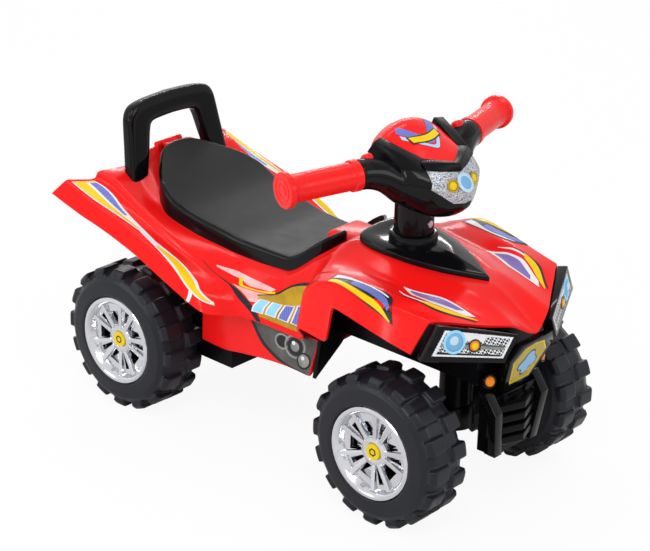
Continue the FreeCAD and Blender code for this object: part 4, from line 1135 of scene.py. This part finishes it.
def finishWheel(end):
    # the dish behind the hub's windows is plated too, and the cap has a ring
    obj = bpy.data.objects["wheel" + titled(end)]
    low, high = (Vector(p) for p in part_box("wheel_" + end))
    axle = (low + high) / 2
    obj.data.materials.append(finishes["hubPlate"])
    for f in obj.data.polygons:
        if math.hypot(f.center.x - axle.x, f.center.z - axle.z) < wheels["dish"]:
            f.material_index = 1
    low, high = (Vector(p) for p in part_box("cap_" + end))
    start = (low + high) / 2
    side = 1 if start.y > 0 else -1
    start.y = (high.y if side > 0 else low.y) + side * wheels["markOut"]
    turnedPiece("capMark" + titled(end), start, (0, side, 0), wheels["mark"],
                bodyOf["cap_" + end], "printed_panel", "inkBlack", wheels["markSides"])


firstWheel = softened("wheel_front_left", "wheelFrontLeft", "wheelSatin", wheels["voxel"], wheels["steps"])
firstHub = bevelled("hubcap_front_left", "hubFrontLeft", "hubPlate", wheels["hubEdge"])
for end, shift, mirror in (("front_right", 0, True), ("rear_left", -wheels["base"], False),
                           ("rear_right", -wheels["base"], True)):
    moved(firstWheel, "wheel" + titled(end), "wheel_" + end, shift, mirror)
    moved(firstHub, "hub" + titled(end), "hubcap_" + end, shift, mirror)
for end in ("front_left", "front_right", "rear_left", "rear_right"):
    finishWheel(end)
print("wheels made")


# printed headlamp panels and the nose badge

lampPanel = {
    "topOuter": (272, 117.6, 260),
    "lowOuter": (267.4, 138.6, 225.4),
    "topInner": (316, 30, 235),
    "innerShare": 0.8,
    "parts": (12, 4),
}


def lampSpot(u, v, out, side):
    a, b, c = (Vector(lampPanel[k]) for k in ("topOuter", "lowOuter", "topInner"))
    normal = (c - a).cross(b - a).normalized()
    p = a + (c - a) * u + (b - a) * v * (1 - u * (1 - lampPanel["innerShare"])) + normal * out
    return inFrame(p.x, p.y * side, p.z), Vector((normal.x, normal.y * side, normal.z))


panelInks = {
    "panelEdge": (0.095, 0.945, 0.11, 0.89, 0.1, "inkWhite"),
    "panelMesh": (0.125, 0.915, 0.17, 0.83, 0.3, "panelMesh"),
    "panelSky": (0.14, 0.62, 0.17, 0.36, 0.45, "inkWhite"),
    "panelBarTop": (0.36, 0.9, 0.44, 0.5, 0.5, "inkGrey"),
    "panelBarMid": (0.13, 0.9, 0.50, 0.60, 0.5, "inkSteel"),
    "panelBarLow": (0.13, 0.9, 0.77, 0.83, 0.5, "inkBlack"),
}
panelLamps = {
    "ringBlue": (0.27, 0.43, [(0.4, 13.6), (1.2, 13.6), (1.6, 12.6), (1.2, 10.6), (0.4, 10.6)], "inkSky"),
    "domeBlue": (0.27, 0.43, [(0.4, 10.5), (1.4, 9.8), (2.4, 7.2), (2.9, 4.5), (3.0, 0.0)], "lampBlue"),
    "dotBlue": (0.25, 0.38, [(2.6, 5.4), (3.1, 4.6), (3.4, 2.4), (3.5, 0.0)], "lampPale"),
    "ringAmber": (0.53, 0.5, [(0.4, 7.6), (1.0, 7.6), (1.3, 7.0), (1.0, 6.2), (0.4, 6.2)], "inkBlack"),
    "domeAmber": (0.53, 0.5, [(0.4, 6.1), (1.2, 5.6), (2.0, 3.8), (2.3, 1.8), (2.4, 0.0)], "amberGloss"),
    "dotAmber": (0.53, 0.5, [(2.0, 4.0), (2.6, 3.2), (2.9, 1.6), (3.0, 0.0)], "yellowGloss"),
}
for side, tag in ((1, "Left"), (-1, "Right")):
    for name, (u0, u1, v0, v1, out, finish) in panelInks.items():
        obj = gridSheet(name + tag, *lampPanel["parts"], lambda u, v: lampSpot(
            u0 + (u1 - u0) * u, v0 + (v1 - v0) * v, out, side)[0])
        faceOut(obj, lampSpot(0, 0, 0, side)[1])
        finishPiece(obj, "chassis", "printed_panel", finish)
    for name, (u, v, profile, finish) in panelLamps.items():
        spot, normal = lampSpot(u, v, 0, side)
        turnedPiece(name + tag, spot, normal, profile, "chassis", "printed_panel", finish, 40)

badge = {
    "foot": (319, 218),
    "tilt": 0.386,
    "rim": [(0, 214), (16, 212), (28, 197.5), (17, 165), (0, 165)],
    "drop": [(0, 206), (6, 203), (9, 196), (15, 190), (14, 183), (7, 180), (5, 174), (0, 172)],
    "dropZ": 190,
    "roundParts": 56,
}


def badgeSheet(name, half, out, finish, smooth):
    loop = [Vector((0, y, z)) for y, z in half] + [Vector((0, -y, z)) for y, z in reversed(half[1:-1])]
    mid = sum(p.z for p in loop) / len(loop)
    footX, footZ = badge["foot"]

    def place(u, v):
        t = u * len(loop)
        p = loopRun(loop, t % len(loop)) if smooth else loop[round(t) % len(loop)]
        z = mid + (p.z - mid) * (1 - v)
        return inFrame(footX - badge["tilt"] * (footZ - z) + out, p.y * (1 - v), z)

    obj = closedUp(gridSheet(name, badge["roundParts"] if smooth else len(loop), 6, place), weld["fine"])
    faceOut(obj, (1, 0, 0))
    finishPiece(obj, "chassis", "printed_panel", finish)


badgeSheet("badgeField", badge["rim"], 0.2, "inkHatchGold", False)
for name, wide, tall, out, finish in (("badgeEdge", 1.12, 1.06, 0.4, "inkBlack"),
                                      ("badgeDrop", 1, 0.94, 0.6, "lampBlue")):
    drop = [(y * wide, badge["dropZ"] + (z - badge["dropZ"]) * tall) for y, z in badge["drop"]]
    badgeSheet(name, drop, out, finish, True)
print("printed panels made")

turnLamps = {
    "seat": (290, 47, 175),
    "axis": (0.8, 0.3, 0.25),
    "dome": [(0.5, 0.0), (0.5, 6.0), (4.4, 6.0), (5.6, 5.2), (6.6, 3.4), (7.0, 0.0)],
    "pod": [(-9.0, 0.0), (-9.0, 6.5), (-6.0, 8.4), (3.4, 8.6), (4.6, 8.0), (4.6, 6.8), (2.0, 6.4), (2.0, 0.0)],
}
domes = []
for side, tag in ((1, "Left"), (-1, "Right")):
    x, y, z = turnLamps["seat"]
    foot = inFrame(x, y * side, z)
    x, y, z = turnLamps["axis"]
    axis = (x, y * side, z)
    turnedPiece("turnPod" + tag, foot, axis, turnLamps["pod"], "chassis", "black_gloss", "blackGloss", 40)
    domes.append(turnedMesh("turnDome" + tag, foot, axis, turnLamps["dome"], 40))
turnPiece = joined(*domes)
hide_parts("turn_lamps")
finishPiece(turnPiece, "chassis", "amber_plastic", "amberGloss", crisp["small"])
print("turn lamps made")


# floor, light and camera

stage = {
    "floorSize": 30.0,
    "worldColor": (1.0, 1.0, 1.0),
    "worldStrength": 0.55,
    "floorLift": 0.92,
    "floorDrop": -0.0002,
    "paperRough": 0.8,
    "paperDrift": 0.6,
    "paper": (0.92, 0.92, 0.92),
    "paperShade": (0.90, 0.90, 0.90),
}


def either(tree, first, second):
    node = tree.nodes.new("ShaderNodeMath")
    node.operation = "MAXIMUM"
    tree.links.new(first, node.inputs[0])
    tree.links.new(second, node.inputs[1])
    return node.outputs[0]


def makeStage():
    floor = added(bpy.ops.mesh.primitive_plane_add, "floor", size=stage["floorSize"],
                  location=(0, 0, stage["floorDrop"]))
    mat, tree, shader, where = startFinish("floorPaper", stage["paper"], stage["paperRough"])
    drift = noiseAt(tree, where, stage["paperDrift"], 2.0)
    tint(tree, shader, drift.outputs["Fac"], stage["paper"], stage["paperShade"])
    glow = tree.nodes.new("ShaderNodeEmission")
    glow.inputs["Strength"].default_value = 1.0
    path = tree.nodes.new("ShaderNodeLightPath")
    share = tree.nodes.new("ShaderNodeMath")
    share.operation = "MULTIPLY"
    share.inputs[1].default_value = stage["floorLift"]
    seen = either(tree, path.outputs["Is Camera Ray"], path.outputs["Is Transmission Ray"])
    tree.links.new(seen, share.inputs[0])
    mix = tree.nodes.new("ShaderNodeMixShader")
    tree.links.new(share.outputs[0], mix.inputs["Fac"])
    tree.links.new(shader.outputs[0], mix.inputs[1])
    tree.links.new(glow.outputs[0], mix.inputs[2])
    tree.links.new(mix.outputs[0], tree.nodes["Material Output"].inputs["Surface"])
    floor.data.materials.append(mat)
    world = bpy.data.worlds.new("studio")
    bpy.context.scene.world = world
    world.use_nodes = True
    tree = world.node_tree
    back = tree.nodes["Background"]
    back.inputs["Color"].default_value = (*stage["worldColor"], 1)
    path = tree.nodes.new("ShaderNodeLightPath")
    seen = either(tree, path.outputs["Is Camera Ray"], path.outputs["Is Transmission Ray"])
    seen = either(tree, seen, path.outputs["Is Glossy Ray"])
    tree.links.new(spread(tree, seen, stage["worldStrength"], 1.0), back.inputs["Strength"])


lamps = {
    "keyLamp": ((1.2, -1.5, 2.6), 34.0, 1.3, 1.3),
    "sideLamp": ((-1.6, -2.2, 1.8), 14.0, 1.4, 1.4),
    "frontLamp": ((2.6, 0.9, 1.5), 10.0, 1.0, 1.0),
    "sideStrip": ((-0.7, -2.6, 0.95), 10.0, 1.6, 0.06),
    "backStrip": ((-1.7, 1.9, 1.35), 10.0, 1.6, 0.06),
    "topStrip": ((-0.7, 0.6, 2.4), 8.0, 1.6, 0.08),
}
lampAim = (0, 0, 0.2)


def makeLamps():
    for name, (place, power, width, height) in lamps.items():
        lamp = added(bpy.ops.object.light_add, name, type="AREA", location=place)
        lamp.data.energy = power
        lamp.data.shape = "RECTANGLE"
        lamp.data.size = width
        lamp.data.size_y = height
        aim = Vector(lampAim) - Vector(place)
        lamp.rotation_euler = aim.to_track_quat("-Z", "Y").to_euler()


viewSpec = {
    "eye": (1.5553, -1.7455, 1.2191),
    "aim": (0.0977, -0.1029, 0.2592),
    "roll": 1.52,
    "lens": 116.3,
    "sensor": 36.0,
    "clipEnd": 60.0,
}


def makeCamera():
    camera = added(bpy.ops.object.camera_add, "photoView", location=viewSpec["eye"])
    ahead = (Vector(viewSpec["aim"]) - Vector(viewSpec["eye"])).normalized()
    side = ahead.cross(Vector((0, 0, 1))).normalized()
    up = side.cross(ahead)
    r = math.radians(viewSpec["roll"])
    sideRolled = side * math.cos(r) + up * math.sin(r)
    upRolled = up * math.cos(r) - side * math.sin(r)
    turn = Matrix((sideRolled, upRolled, -ahead)).transposed().to_4x4()
    camera.matrix_world = Matrix.Translation(viewSpec["eye"]) @ turn
    camera.data.lens = viewSpec["lens"]
    camera.data.sensor_width = viewSpec["sensor"]
    camera.data.clip_end = viewSpec["clipEnd"]
    bpy.context.scene.camera = camera


makeStage()
makeLamps()
makeCamera()
bpy.context.scene.view_settings.view_transform = "Standard"
print("stage, lamps and camera set")
